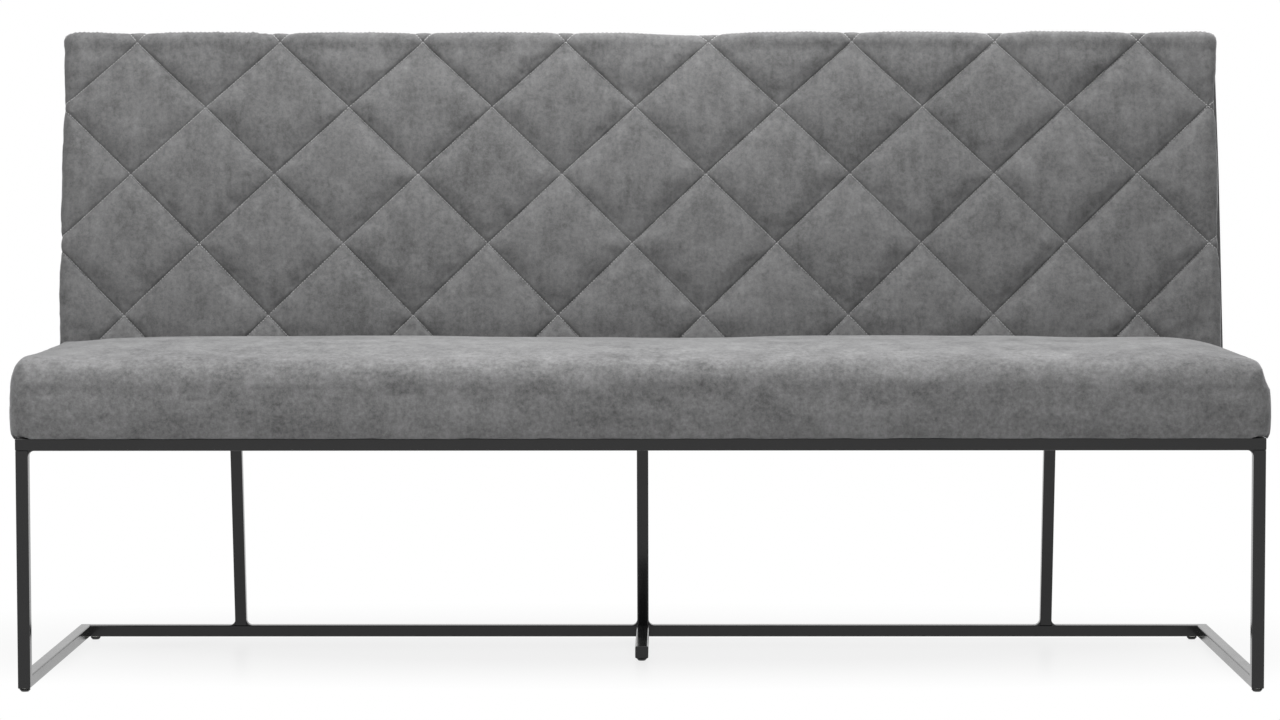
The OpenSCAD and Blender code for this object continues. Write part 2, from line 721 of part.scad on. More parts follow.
function tray_loops(g, n) = [for (p = edge_profile(g, rear_edge_r, n, quilt_t0 - fit_gap))
  let (x = bench_w / 2 - p[0], r = max(back_corner_r - p[0], back_corner_r / 3))
  [for (q = ring(-x, x, p[0], back_len - p[0], r, 4, 2, 4)) [-q[0], -p[1], q[1]]]];

module back_rear_cover() color([0.4, 0.4, 0.4]) on_back() difference() {
  loft_skin(tray_loops(0, 4), tray_loops(cover_t, 3));
  for (x = post_places)
    translate([x - upright_w / 2 - fit_gap, -upright_t0 - upright_t - fit_gap, -1])
      cube([upright_w + 2 * fit_gap, upright_t + 2 * fit_gap, cover_t + 2]);
}

// Quilted cover: padded diamonds between stitched grooves, on a lattice of half
// diamonds. Lattice points alternate between crossings and diamond centres.

quilt_half = bench_w / 2 - seam_step;
lattice_half = quilt_half - side_roll;
cols = 2 * max(1, round(2 * lattice_half / diamond_w));
function row_drop(j) =
  quilt_top_gap + half_diamond_h * j + half_diamond_growth * j * (j - 1) / 2;
rows = len([for (j = [1 : 40]) if (row_drop(j) < back_len - quilt_top_gap / 2) j]);
function lattice_x(i) = -lattice_half + 2 * lattice_half * i / cols;
function lattice_s(j) = back_len - row_drop(j);
function is_crossing(i, j) = (i + j) % 2 == 1;

// Height of the padding at a share r of the way from a diamond's centre to its groove
near_groove = 0.88;
near_centre = 0.6;
function puff(r) = pillow_h * (1 - pow(r, 5));
function at(i, j) = [lattice_x(i), lattice_s(j), puff(is_crossing(i, j) ? 1 : 0)];

// Two points on the way from lattice point a to b, where one is a crossing
function between(a, b, from_crossing) = [
  for (r = from_crossing ? [near_groove, near_centre] : [near_centre, near_groove])
  let (f = from_crossing ? 1 - r : r)
    [a[0] + (b[0] - a[0]) * f, a[1] + (b[1] - a[1]) * f, puff(r)]];

// Points inside the cell below and to the right of (i, j): the middle of its groove
// and two points towards it from each of the two diamond centres at its corners
function cell_points(i, j) = let (
  first = is_crossing(i, j) ? at(i + 1, j) : at(i, j),
  second = is_crossing(i, j) ? at(i, j + 1) : at(i + 1, j + 1),
  mid = [(lattice_x(i) + lattice_x(i + 1)) / 2, (lattice_s(j) + lattice_s(j + 1)) / 2, 0])
  concat([mid], [for (c = [first, second]) for (r = [near_centre, near_groove])
    [c[0] + (mid[0] - c[0]) * r, c[1] + (mid[1] - c[1]) * r, puff(r)]]);

lattice_points = concat(
  [for (j = [0 : rows]) for (i = [0 : cols]) at(i, j)],
  [for (j = [0 : rows]) for (i = [0 : cols - 1])
    each between(at(i, j), at(i + 1, j), is_crossing(i, j))],
  [for (j = [0 : rows - 1]) for (i = [0 : cols])
    each between(at(i, j), at(i, j + 1), is_crossing(i, j))],
  [for (j = [0 : rows - 1]) for (i = [0 : cols - 1]) each cell_points(i, j)]);

first_across = (cols + 1) * (rows + 1);
first_down = first_across + 2 * cols * (rows + 1);
first_cell = first_down + 2 * (cols + 1) * rows;
first_edge = first_cell + 5 * cols * rows;
function node_at(i, j) = j * (cols + 1) + i;
function across(i, j, k) = first_across + 2 * (j * cols + i) + k;
function down(i, j, k) = first_down + 2 * (j * (cols + 1) + i) + k;
function cell(i, j, k) = first_cell + 5 * (j * cols + i) + k;

// Quarter of a diamond: centre c, then groove ends a and b, with two points on the way
// to each (near the centre first), and m the same for the middle of the groove
function quarter(c, a, m, b) = [
  [c, a[0], m[0]], [c, m[0], b[0]],
  [a[0], a[1], m[1]], [a[0], m[1], m[0]], [m[0], m[1], b[1]], [m[0], b[1], b[0]],
  [a[1], a[2], m[2]], [a[1], m[2], m[1]], [m[1], m[2], b[2]], [m[1], b[2], b[1]]];

function cell_faces(i, j) = let (
  m1 = [cell(i, j, 1), cell(i, j, 2), cell(i, j, 0)],
  m2 = [cell(i, j, 3), cell(i, j, 4), cell(i, j, 0)],
  top = [across(i, j, 0), across(i, j, 1)],
  low = [across(i, j + 1, 0), across(i, j + 1, 1)],
  left = [down(i, j, 0), down(i, j, 1)],
  right = [down(i + 1, j, 0), down(i + 1, j, 1)],
  tl = node_at(i, j), tr = node_at(i + 1, j),
  bl = node_at(i, j + 1), br = node_at(i + 1, j + 1))
  is_crossing(i, j)
  ? concat(
      quarter(tr, [right[0], right[1], br], m1, [top[1], top[0], tl]),
      quarter(bl, [left[1], left[0], tl], m2, [low[0], low[1], br]))
  : concat(
      quarter(tl, [top[0], top[1], tr], m1, [left[0], left[1], bl]),
      quarter(br, [low[1], low[0], bl], m2, [right[1], right[0], tr]));

// The lattice's outline, clockwise from its upper left corner, with each point's
// outward direction
edge_loop = concat(
  [for (i = [0 : cols - 1]) each [
    [node_at(i, 0), i == 0 ? [-0.7, 0.7] : [0, 1]],
    [across(i, 0, 0), [0, 1]], [across(i, 0, 1), [0, 1]]]],
  [for (j = [0 : rows - 1]) each [
    [node_at(cols, j), j == 0 ? [0.7, 0.7] : [1, 0]],
    [down(cols, j, 0), [1, 0]], [down(cols, j, 1), [1, 0]]]],
  [for (i = [cols : -1 : 1]) each [
    [node_at(i, rows), i == cols ? [0.7, -0.7] : [0, -1]],
    [across(i - 1, rows, 1), [0, -1]], [across(i - 1, rows, 0), [0, -1]]]],
  [for (j = [rows : -1 : 1]) each [
    [node_at(0, j), j == rows ? [-0.7, -0.7] : [-1, 0]],
    [down(0, j - 1, 1), [-1, 0]], [down(0, j - 1, 0), [-1, 0]]]]);

// The rolled edge, at an angle round its quarter turn
bulge = 0.3;
function edge_ring(angle) = [for (e = edge_loop) let (
  p = lattice_points[e[0]],
  d = e[1],
  roll_s = d[1] > 0 ? quilt_top_gap : lattice_s(rows),
  out = sin(angle))
  [p[0] + d[0] * (side_roll + bulge * p[2]) * out,
   p[1] + d[1] * (roll_s + bulge * p[2]) * out,
   (quilt_t + p[2]) * cos(angle) - quilt_t]];

module back_quilted_cover() color([0.43, 0.43, 0.43]) on_back() {
  n = len(edge_loop);
  roll_steps = 3;
  surface = concat(lattice_points, [for (k = [1 : roll_steps]) each edge_ring(90 * k / roll_steps)]);
  inner = [for (e = edge_loop) e[0]];
  loops = concat([inner],
    [for (k = [0 : roll_steps - 1]) [for (i = [0 : n - 1]) first_edge + k * n + i]]);
  polyhedron(
    points = concat(
      [for (p = surface) [p[0], -quilt_t0 - quilt_t - p[2], p[1]]],
      [[0, -quilt_t0, back_len / 2]]),
    faces = concat(
      [for (j = [0 : rows - 1]) for (i = [0 : cols - 1]) each cell_faces(i, j)],
      [for (k = [0 : roll_steps - 1]) for (i = [0 : n - 1]) let (h = (i + 1) % n)
        each [[loops[k][i], loops[k + 1][i], loops[k + 1][h]],
          [loops[k][i], loops[k + 1][h], loops[k][h]]]],
      flipped(cap(loops[roll_steps][0], n, len(surface)))),
    convexity = 6);
}

front_left_leg();
front_right_leg();
front_apron_rail();
rear_apron_rail();
left_apron_rail();
right_apron_rail();
left_cross_rail();
centre_cross_rail();
right_cross_rail();
rear_left_post();
rear_centre_post();
rear_right_post();
left_floor_runner();
right_floor_runner();
rear_floor_rail_left();
rear_floor_rail_right();
centre_floor_runner();
runner_end_caps();
weld_fillets();
seat_fixing_tabs();
back_upright_left();
back_upright_centre();
back_upright_right();
glide_inserts();
front_left_glide();
front_right_glide();
rear_left_glide();
rear_right_glide();
centre_glide();
seat_deck();
seat_foam();
seat_cover();
seat_dust_cover();
seat_screws();
seat_tee_nuts();
back_top_rail();
back_middle_rail();
back_bottom_rail();
back_left_stile();
back_right_stile();
back_inner_stiles();
back_frame_dowels();
back_board();
back_foam();
back_quilted_cover();
back_rear_cover();
back_bolts();
back_washers();
back_tee_nuts();
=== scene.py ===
import json
import math

import bmesh
import bpy
import numpy as np
from mathutils import Matrix, Vector, interpolate
from mathutils.bvhtree import BVHTree

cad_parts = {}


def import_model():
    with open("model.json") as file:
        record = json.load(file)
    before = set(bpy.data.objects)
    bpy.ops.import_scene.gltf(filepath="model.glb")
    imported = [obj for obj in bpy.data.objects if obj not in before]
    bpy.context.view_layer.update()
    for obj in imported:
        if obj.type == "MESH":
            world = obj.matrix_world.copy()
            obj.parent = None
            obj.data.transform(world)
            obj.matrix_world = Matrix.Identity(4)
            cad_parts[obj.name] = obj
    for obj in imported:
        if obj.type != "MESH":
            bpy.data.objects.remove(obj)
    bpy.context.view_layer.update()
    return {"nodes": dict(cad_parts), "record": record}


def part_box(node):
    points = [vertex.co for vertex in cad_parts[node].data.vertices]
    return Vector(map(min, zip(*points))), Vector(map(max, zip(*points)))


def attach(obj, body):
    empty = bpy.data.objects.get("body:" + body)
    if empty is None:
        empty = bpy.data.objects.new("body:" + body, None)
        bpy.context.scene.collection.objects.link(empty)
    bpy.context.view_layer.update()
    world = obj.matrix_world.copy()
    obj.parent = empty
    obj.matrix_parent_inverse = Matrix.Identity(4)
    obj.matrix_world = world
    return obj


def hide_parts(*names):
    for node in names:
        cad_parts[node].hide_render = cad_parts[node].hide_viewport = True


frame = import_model()

# Lengths are in millimetres, unless a comment says metres

# Sizes from the part's source
BENCH_W = 1800.0
OVERHANG = 5.0
LEAN = math.radians(12)
BACK_LEN = 585.0
FRAME_TOP = 366.0
FIT_GAP = 0.3
COVER_T = 2.0

# Back panel: its layers counted forward from the rear face, its gap to the seat and its edges
BOARD_T0, BOARD_T = 37.6, 5.0
QUILT_T0, QUILT_T = 74.2, 12.0
PILLOW_H = 9.0
BACK_T = QUILT_T0 + QUILT_T + PILLOW_H
BACK_GAP = 1.5
REAR_EDGE_R = 7.0
BACK_CORNER_R = 16.0
SEAM_STEP = 3.0
SIDE_ROLL = 5.0

# Steel bars that carry the back
POST_X = 638.0
UPRIGHT_W = 50.0
UPRIGHT_T0, UPRIGHT_T = 9.3, 8.0

# The soft covers of the back stand a little proud, more on the left
BACK_FULL, BACK_ASIDE = 2.2, -3.4
# The quilted cover stops short of the back's right side, and at the foot of its left side
RIGHT_SHORT, LEFT_SHORT = 3.4, 2.2

# Quilting: where its crossings lie, in columns and in rows that grow towards the foot
QUILT_HALF = BENCH_W / 2 - SEAM_STEP
LATTICE_HALF = QUILT_HALF - SIDE_ROLL
COLS, ROWS = 16, 5
TOP_GAP = 16.0
HALF_H, GROWTH = 103.6, 3.2
# As sewn, the pattern sits a little high and to the left, and drifts and widens from row to row
SEWN_UP, SEWN_ASIDE, SEWN_DRIFT = 3.0, -4.6, -2.45
SEWN_WIDE, SEWN_WIDER = 1.0036, 0.001

# Padding: its height, and the share and power of each curve that shapes it from the middle of a
# diamond to a groove
PAD_H = 10.2
PAD_CURVES = [(0.40, 3.2), (0.28, 10), (0.32, 48)]
# It evens out from this far before the side and top edges, to this share at a groove and this
# much more between grooves, and fades to the seam over the last few millimetres
EVEN_SIDE, EVEN_TOP = 12.0, 4.0
EVEN_LOW, EVEN_MORE = 0.42, 0.22
SEAM_FADE = 11.0
# Its top edge stands up a little, less to the right, with a dip that has a place and a width
TOP_FULL, TOP_TILT = 3.3, 0.9
TOP_DIP, DIP_X, DIP_W = 6.0, 75.0, 90.0
# Gathers where the cover is drawn over the top edge and over the foot: x, width, height, length
PUCKERS = [(-664, 7, 1.6, 55), (-606, 6, 2.4, 70), (-590, 5, 1.8, 55), (-742, 6, 0.8, 45),
           (-536, 8, 0.9, 40), (-265, 7, 0.8, 50), (-225, 6, 0.6, 40), (85, 8, 0.8, 45),
           (130, 6, 0.7, 40), (330, 7, 0.9, 50), (545, 6, 0.7, 45), (575, 7, 0.6, 40),
           (770, 6, 0.9, 50)]
FOOT_PUCKERS = [(-745, 6, 1.0, 60), (-722, 5, 0.8, 50), (-410, 6, 0.6, 50), (250, 6, 0.6, 50),
                (640, 6, 0.8, 55)]
# Stitches lie this far above the grooves and end this far from the seam
THREAD_LIFT, THREAD_END = 0.8, 2.5

# Rear cover: its turned-in rim, how far its right side stands proud, how far its face is drawn in
# between the rails, and the clearance round each steel bar
RIM, RIGHT_PROUD = 11.0, 2.8
REAR_SAG = 0.9
SIDE_T = QUILT_T0 - 8
SLOT_CLEAR_T, SLOT_CLEAR_X = 0.6, 1.0

# Seat cushion: its heights, the rounding and bow of its sides, and the rim turned in below
SEAT_Z0 = FRAME_TOP + 1.2
SEAT_EDGE_H = 110.0
SEAT_CROWN = 19.0
SEAT_TOP_R, SEAT_TOP_TURN = 45.0, math.radians(18)
SEAT_BOTTOM_R = 8.0
SEAT_BOW = 2.5
SEAT_CORNER_R = 32.0
SEAT_TURN_IN = 22.0
SEAT_SIDE_Z = SEAT_Z0 + SEAT_BOTTOM_R
SEAT_ARC_Z = FRAME_TOP + SEAT_EDGE_H - SEAT_TOP_R * math.cos(SEAT_TOP_TURN)
DECK_T = 15.0
# Its ends reach past the frame, and are drawn in by a share of what the front is
SEAT_END_REACH = 3.0
END_SHARE = 0.45
# The crown rises from each end over a length. The left shoulder is full, the right one flatter
END_RISE = 125.0
LEFT_LIFT, RIGHT_LIFT, END_LIFT_W = 4.5, -4.5, 85.0
# Both ends stand proud, the left one more, and the right one's upper edge is drawn in
END_FULL, END_ASIDE, END_FULL_W = 3.2, -0.6, 120.0
RIGHT_DRAWN = 6.0
# The lower edge hangs down, over a height, and clear of the frame
HEM_DROP, HEM_H, HEM_CLEAR = 5.9, 24.0, 0.6

# Dust cover under the seat: its hem, its sag, and how far the tabs on the rails reach
DUST_HEM, DUST_SAG, TAB_CLEAR = 12.0, 2.5, 44.0

# Cloth: air pressure under each cover, how much larger it is than its start, and how far a
# point may move
SEAT_PRESSURE, SEAT_GROWTH, SEAT_CAP = 2.0, 0.004, 1.8
QUILT_PRESSURE, QUILT_GROWTH, QUILT_CAP = 2.0, 0.008, 2.5
HELD_LEVELS = 20
SLACK_STEPS = 25
# The quilted cover is held up to this height of its slope, where it is behind the seat
BEHIND_SEAT = 115.0

# Camera: its focal length and shift in pixels of the photograph, its angles, and its place to the
# right, in front of the legs and above the floor
PHOTO_W = 1280
FOCAL_PX, SHIFT_PX = 3681.0, 1.7
SENSOR_W = 36
PITCH, YAW, ROLL = math.radians(3.511), math.radians(-0.512), math.radians(-0.076)
CAMERA_X, CAMERA_AWAY, CAMERA_H = 45, 5247, 800

# Places from the frame: the lower rear edge of the back, and the front of the seat
board_lo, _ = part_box("back_board")
BOARD_INSET = REAR_EDGE_R + (1 - math.sqrt(0.5)) * (BACK_CORNER_R - REAR_EDGE_R) + 0.5
FOOT_Y = board_lo[1] * 1000 + (BOARD_T0 + BOARD_T) * math.cos(LEAN) - BOARD_INSET * math.sin(LEAN)
FOOT_Z = board_lo[2] * 1000 - BOARD_T0 * math.sin(LEAN) - BOARD_INSET * math.cos(LEAN)
seat_lo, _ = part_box("seat_cover")
SEAT_FRONT = seat_lo[1] * 1000


# Helpers

def eased(f):
    """From 0 to 1 with level ends."""
    return f * f * f * (f * (f * 6 - 15) + 10)


def smooth_noise(u, v, cell, seed):
    """Smooth noise from about -1 to 1 over a plane, with bumps about one cell across."""
    columns, rows = 97, 89
    table = np.random.RandomState(seed).uniform(-1, 1, (columns, rows))
    a, b = u / cell + 31.7, v / cell + 17.3
    i, j = np.floor(a).astype(int), np.floor(b).astype(int)
    fa, fb = eased(a - i), eased(b - j)
    i0, i1, j0, j1 = i % columns, (i + 1) % columns, j % rows, (j + 1) % rows
    low = table[i0, j0] * (1 - fa) + table[i1, j0] * fa
    high = table[i0, j1] * (1 - fa) + table[i1, j1] * fa
    return (low * (1 - fb) + high * fb) * 1.4


def new_object(name, points, faces, smooth=True):
    """Mesh object from points in millimetres."""
    mesh = bpy.data.meshes.new(name)
    mesh.from_pydata((np.asarray(points, float) * 0.001).tolist(), [], faces)
    mesh.validate()
    mesh.polygons.foreach_set("use_smooth", [smooth] * len(mesh.polygons))
    mesh.update()
    obj = bpy.data.objects.new(name, mesh)
    bpy.context.scene.collection.objects.link(obj)
    return obj


def on_back(x, t, s):
    """Points of the leaning back: x across, t forward from its rear face, s up its slope."""
    y = FOOT_Y - t * math.cos(LEAN) + s * math.sin(LEAN)
    z = FOOT_Z + t * math.sin(LEAN) + s * math.cos(LEAN)
    return np.stack([np.broadcast_to(x, np.shape(y)), y, z], -1)


def side_run(n, corner):
    """Places along one side of a rounded rectangle, -1 and 2 in the middle of its corners."""
    bend = np.linspace(-1, 0, corner + 1)[:-1]
    return np.concatenate([bend, np.linspace(0, 1, n + 1), 1 - bend[::-1]])


def rounded(x0, x1, y0, y1, r, n_long, n_short, corner):
    """The four sides of a rounded rectangle, each from mid-corner to mid-corner: front and
    rear from left to right, left and right from front to rear."""
    def side(run, length):
        bend = np.radians(45) * np.clip(np.maximum(-run, run - 1), 0, 1)
        along = np.where(run < 0, r - r * np.sin(bend),
                         np.where(run > 1, length - r + r * np.sin(bend),
                                  r + np.clip(run, 0, 1) * (length - 2 * r)))
        return along, r * (1 - np.cos(bend))

    ax, ay = side(side_run(n_long, corner), x1 - x0)
    bx, by = side(side_run(n_short, corner), y1 - y0)
    return (np.stack([x0 + ax, y0 + ay], -1), np.stack([x0 + ax, y1 - ay], -1),
            np.stack([x0 + by, y0 + bx], -1), np.stack([x1 - by, y0 + bx], -1))


def ring(*sides):
    """One loop, anticlockwise from the front left corner, through a rounded rectangle's sides."""
    front, rear, left, right = rounded(*sides)
    return np.concatenate([front[:-1], right[:-1], rear[:0:-1], left[:0:-1]])


def patch(*sides):
    """Grid of points inside a rounded rectangle, with its edge points, as rows from front to rear."""
    front, rear, left, right = rounded(*sides)
    u = np.linspace(0, 1, len(front))[None, :, None]
    v = np.linspace(0, 1, len(left))[:, None, None]
    corners = ((1 - u) * (1 - v) * front[0] + u * (1 - v) * front[-1]
               + (1 - u) * v * rear[0] + u * v * rear[-1])
    return ((1 - v) * front[None] + v * rear[None] + (1 - u) * left[:, None]
            + u * right[:, None] - corners)


def patch_faces(loop, rows, columns, inner):
    """Quads of a patch whose edge is the loop that starts at one index and whose inner points,
    row by row, start at another."""
    index = np.zeros((rows, columns), int)
    index[0, :] = loop + np.arange(columns)
    index[:, -1] = loop + columns - 1 + np.arange(rows)
    index[-1, ::-1] = loop + columns + rows - 2 + np.arange(columns)
    index[1:, 0] = (loop + 2 * columns + rows - 3 + np.arange(rows - 1))[::-1]
    index[1:-1, 1:-1] = inner + np.arange((rows - 2) * (columns - 2)).reshape(rows - 2, columns - 2)
    return np.stack([index[:-1, :-1], index[:-1, 1:], index[1:, 1:], index[1:, :-1]],
                    -1).reshape(-1, 4).tolist()


def loft_faces(loops, n):
    """Quads between successive loops of n points."""
    faces = []
    for k in range(loops - 1):
        for i in range(n):
            j = (i + 1) % n
            faces.append((k * n + i, k * n + j, (k + 1) * n + j, (k + 1) * n + i))
    return faces


def closing(side, counts, loop, inner):
    """Points and quads that close a loop which starts at one index, with its inner points from
    another."""
    grid = patch(*side, *counts)
    return grid[1:-1, 1:-1].reshape(-1, 2), patch_faces(loop, *grid.shape[:2], inner)


# Materials

def node_material(name):
    """Material with its node tree, its shader and coordinates on the object."""
    material = bpy.data.materials.new(name)
    material.use_nodes = True
    tree = material.node_tree
    coords = tree.nodes.new("ShaderNodeTexCoord").outputs["Object"]
    return material, tree, tree.nodes["Principled BSDF"], coords


def set_inputs(node, values):
    """Gives inputs of a node their values, or links them to outputs of other nodes."""
    for name, value in values.items():
        if isinstance(value, bpy.types.NodeSocket):
            node.id_data.links.new(value, node.inputs[name])
        else:
            node.inputs[name].default_value = value


def noise_node(tree, coords, scale, detail, rough, stretch=None):
    if stretch is not None:
        mapping = tree.nodes.new("ShaderNodeMapping")
        set_inputs(mapping, {"Scale": stretch, "Vector": coords})
        coords = mapping.outputs["Vector"]
    node = tree.nodes.new("ShaderNodeTexNoise")
    set_inputs(node, {"Scale": scale, "Detail": detail, "Roughness": rough, "Vector": coords})
    return node.outputs["Fac"]


def spread(tree, value, low, high, to_low, to_high):
    node = tree.nodes.new("ShaderNodeMapRange")
    set_inputs(node, {"From Min": low, "From Max": high, "To Min": to_low, "To Max": to_high,
                      "Value": value})
    return node.outputs["Result"]


def maths(tree, kind, a, b):
    node = tree.nodes.new("ShaderNodeMath")
    node.operation = kind
    set_inputs(node, {0: a, 1: b})
    return node.outputs[0]


def tinted(tree, factor, colour):
    """The colour, scaled by a factor that varies over the surface."""
    grey = tree.nodes.new("ShaderNodeCombineColor")
    set_inputs(grey, {"Red": factor, "Green": factor, "Blue": factor})
    node = tree.nodes.new("ShaderNodeMix")
    node.data_type = "RGBA"
    node.blend_type = "MULTIPLY"
    set_inputs(node, {0: 1.0, 6: (*colour, 1), 7: grey.outputs[0]})
    return node.outputs[2]


def bumped(tree, height, strength, distance, below=None):
    node = tree.nodes.new("ShaderNodeBump")
    set_inputs(node, {"Strength": strength, "Distance": distance, "Height": height})
    if below is not None:
        set_inputs(node, {"Normal": below})
    return node.outputs["Normal"]


def suede(name, albedo, streaks, patch_scale, widths):
    """Napped suede-like cover: clouds, patches, specks and streaks along one way, each with its
    share, a fine pile and a soft sheen."""
    material, tree, shader, coords = node_material(name)
    clouds = noise_node(tree, coords, 5.5, 3.0, 0.55)
    patches = noise_node(tree, coords, patch_scale, 6.0, 0.66)
    specks = noise_node(tree, coords, 150.0, 4.0, 0.72)
    pile = noise_node(tree, coords, 700.0, 3.0, 0.6)
    lines = noise_node(tree, coords, 1.0, 5.0, 0.62, streaks)
    total = spread(tree, pile, 0.25, 0.75, -0.14, 0.14)
    for part, width in zip((clouds, patches, specks, lines), widths):
        total = maths(tree, "ADD", total, spread(tree, part, 0.25, 0.75, -width, width))
    factor = maths(tree, "ADD", total, 1.0)
    soft = bumped(tree, patches, 0.25, 0.003)
    nap = bumped(tree, specks, 0.25, 0.0012, soft)
    set_inputs(shader, {"Base Color": tinted(tree, factor, (albedo, albedo, albedo * 1.005)),
                        "Roughness": spread(tree, patches, 0.3, 0.7, 0.86, 0.96),
                        "Normal": bumped(tree, pile, 0.35, 0.0004, nap),
                        "Specular IOR Level": 0.15, "Sheen Weight": 0.5, "Sheen Roughness": 0.4,
                        "Sheen Tint": (0.9, 0.9, 0.92, 1)})
    return material


def powder_coat():
    material, tree, shader, coords = node_material("powder_coat")
    peel = noise_node(tree, coords, 650.0, 2.0, 0.5)
    dust = noise_node(tree, coords, 22.0, 6.0, 0.65)
    factor = spread(tree, dust, 0.3, 0.7, 0.85, 1.18)
    set_inputs(shader, {"Base Color": tinted(tree, factor, (0.008, 0.008, 0.0084)),
                        "Roughness": spread(tree, dust, 0.3, 0.7, 0.12, 0.19),
                        "Normal": bumped(tree, peel, 0.12, 0.0002),
                        "Specular IOR Level": 0.42})
    return material


def moulded_plastic():
    material, tree, shader, coords = node_material("moulded_nylon")
    grain = noise_node(tree, coords, 1800.0, 2.0, 0.6)
    haze = noise_node(tree, coords, 60.0, 4.0, 0.6)
    factor = spread(tree, haze, 0.3, 0.7, 0.8, 1.2)
    set_inputs(shader, {"Base Color": tinted(tree, factor, (0.012, 0.012, 0.0122)),
                        "Roughness": spread(tree, haze, 0.3, 0.7, 0.45, 0.6),
                        "Normal": bumped(tree, grain, 0.3, 0.0001)})
    return material


def zinc():
    material, tree, shader, coords = node_material("zinc_plate")
    spangle = noise_node(tree, coords, 300.0, 4.0, 0.6)
    factor = spread(tree, spangle, 0.3, 0.7, 0.8, 1.08)
    set_inputs(shader, {"Base Color": tinted(tree, factor, (0.66, 0.66, 0.62)),
                        "Roughness": spread(tree, spangle, 0.3, 0.7, 0.28, 0.45),
                        "Normal": bumped(tree, spangle, 0.15, 0.0002),
                        "Metallic": 1.0})
    return material


def wood(name, colour, stretch, ring_scale):
    material, tree, shader, coords = node_material(name)
    grain = noise_node(tree, coords, 1.0, 6.0, 0.65, stretch)
    bands = tree.nodes.new("ShaderNodeTexWave")
    bands.bands_direction = "Z"
    set_inputs(bands, {"Scale": ring_scale, "Distortion": 5.0, "Detail": 3.0, "Vector": coords})
    total = maths(tree, "ADD", spread(tree, grain, 0.3, 0.7, 0.8, 1.1),
                  spread(tree, bands.outputs["Fac"], 0.0, 1.0, -0.08, 0.05))
    set_inputs(shader, {"Base Color": tinted(tree, total, colour),
                        "Roughness": spread(tree, grain, 0.3, 0.7, 0.6, 0.75),
                        "Normal": bumped(tree, grain, 0.3, 0.0005)})
    return material


def foam_material():
    material, tree, shader, coords = node_material("foam")
    cells = tree.nodes.new("ShaderNodeTexVoronoi")
    set_inputs(cells, {"Scale": 900.0, "Vector": coords})
    stain = noise_node(tree, coords, 8.0, 4.0, 0.6)
    factor = spread(tree, stain, 0.3, 0.7, 0.9, 1.05)
    set_inputs(shader, {"Base Color": tinted(tree, factor, (0.75, 0.67, 0.42)),
                        "Normal": bumped(tree, cells.outputs["Distance"], 0.5, 0.0008),
                        "Roughness": 0.95})
    return material


def lining():
    material, tree, shader, coords = node_material("spunbond_lining")
    fibres = noise_node(tree, coords, 420.0, 5.0, 0.7)
    points = tree.nodes.new("ShaderNodeTexVoronoi")
    set_inputs(points, {"Scale": 550.0, "Randomness": 0.15, "Vector": coords})
    factor = spread(tree, fibres, 0.25, 0.75, 0.7, 1.3)
    dots = bumped(tree, points.outputs["Distance"], 0.4, 0.0004)
    set_inputs(shader, {"Base Color": tinted(tree, factor, (0.012, 0.012, 0.013)),
                        "Normal": bumped(tree, fibres, 0.3, 0.0004, dots),
                        "Roughness": 0.85, "Specular IOR Level": 0.3})
    return material


def thread():
    material, tree, shader, coords = node_material("sewing_thread")
    twist = noise_node(tree, coords, 2500.0, 2.0, 0.5)
    factor = spread(tree, twist, 0.3, 0.7, 0.85, 1.1)
    set_inputs(shader, {"Base Color": tinted(tree, factor, (0.55, 0.55, 0.55)),
                        "Normal": bumped(tree, twist, 0.4, 0.0001),
                        "Roughness": 0.6})
    return material


# One suede in two copies: the copy for the back and its rear cover is set darker than the seat's, as
# painted shade for the dimmer light on the back; the fabric itself is the same
SEAT_FABRIC = suede("seat_suede", 0.194, (9.0, 30.0, 30.0), 28.0, (0.11, 0.31, 0.35, 0.18))
BACK_FABRIC = suede("back_suede", 0.163, (60.0, 40.0, 12.0), 34.0, (0.12, 0.19, 0.28, 0.16))
REAR_FABRIC = suede("rear_suede", 0.163, (60.0, 40.0, 12.0), 34.0, (0.12, 0.16, 0.22, 0.12))
LINING = lining()
THREAD = thread()
BY_SLOT = {
    "powder_coated_steel": powder_coat(),
    "black_plastic": moulded_plastic(),
    "zinc_plated_steel": zinc(),
    "plywood": wood("birch_plywood", (0.62, 0.45, 0.26), (9.0, 9.0, 160.0), 60.0),
    "timber": wood("planed_pine", (0.66, 0.47, 0.26), (6.0, 90.0, 90.0), 18.0),
    "foam": foam_material(),
    "grey_fabric": REAR_FABRIC,
    "black_lining": LINING,
}
slot_of = {row["node"]: row["material_slot"] for row in frame["record"]["subparts"]}
for node_name, node_object in frame["nodes"].items():
    node_object.data.materials.clear()
    node_object.data.materials.append(BY_SLOT[slot_of[node_name]])


# Cloth

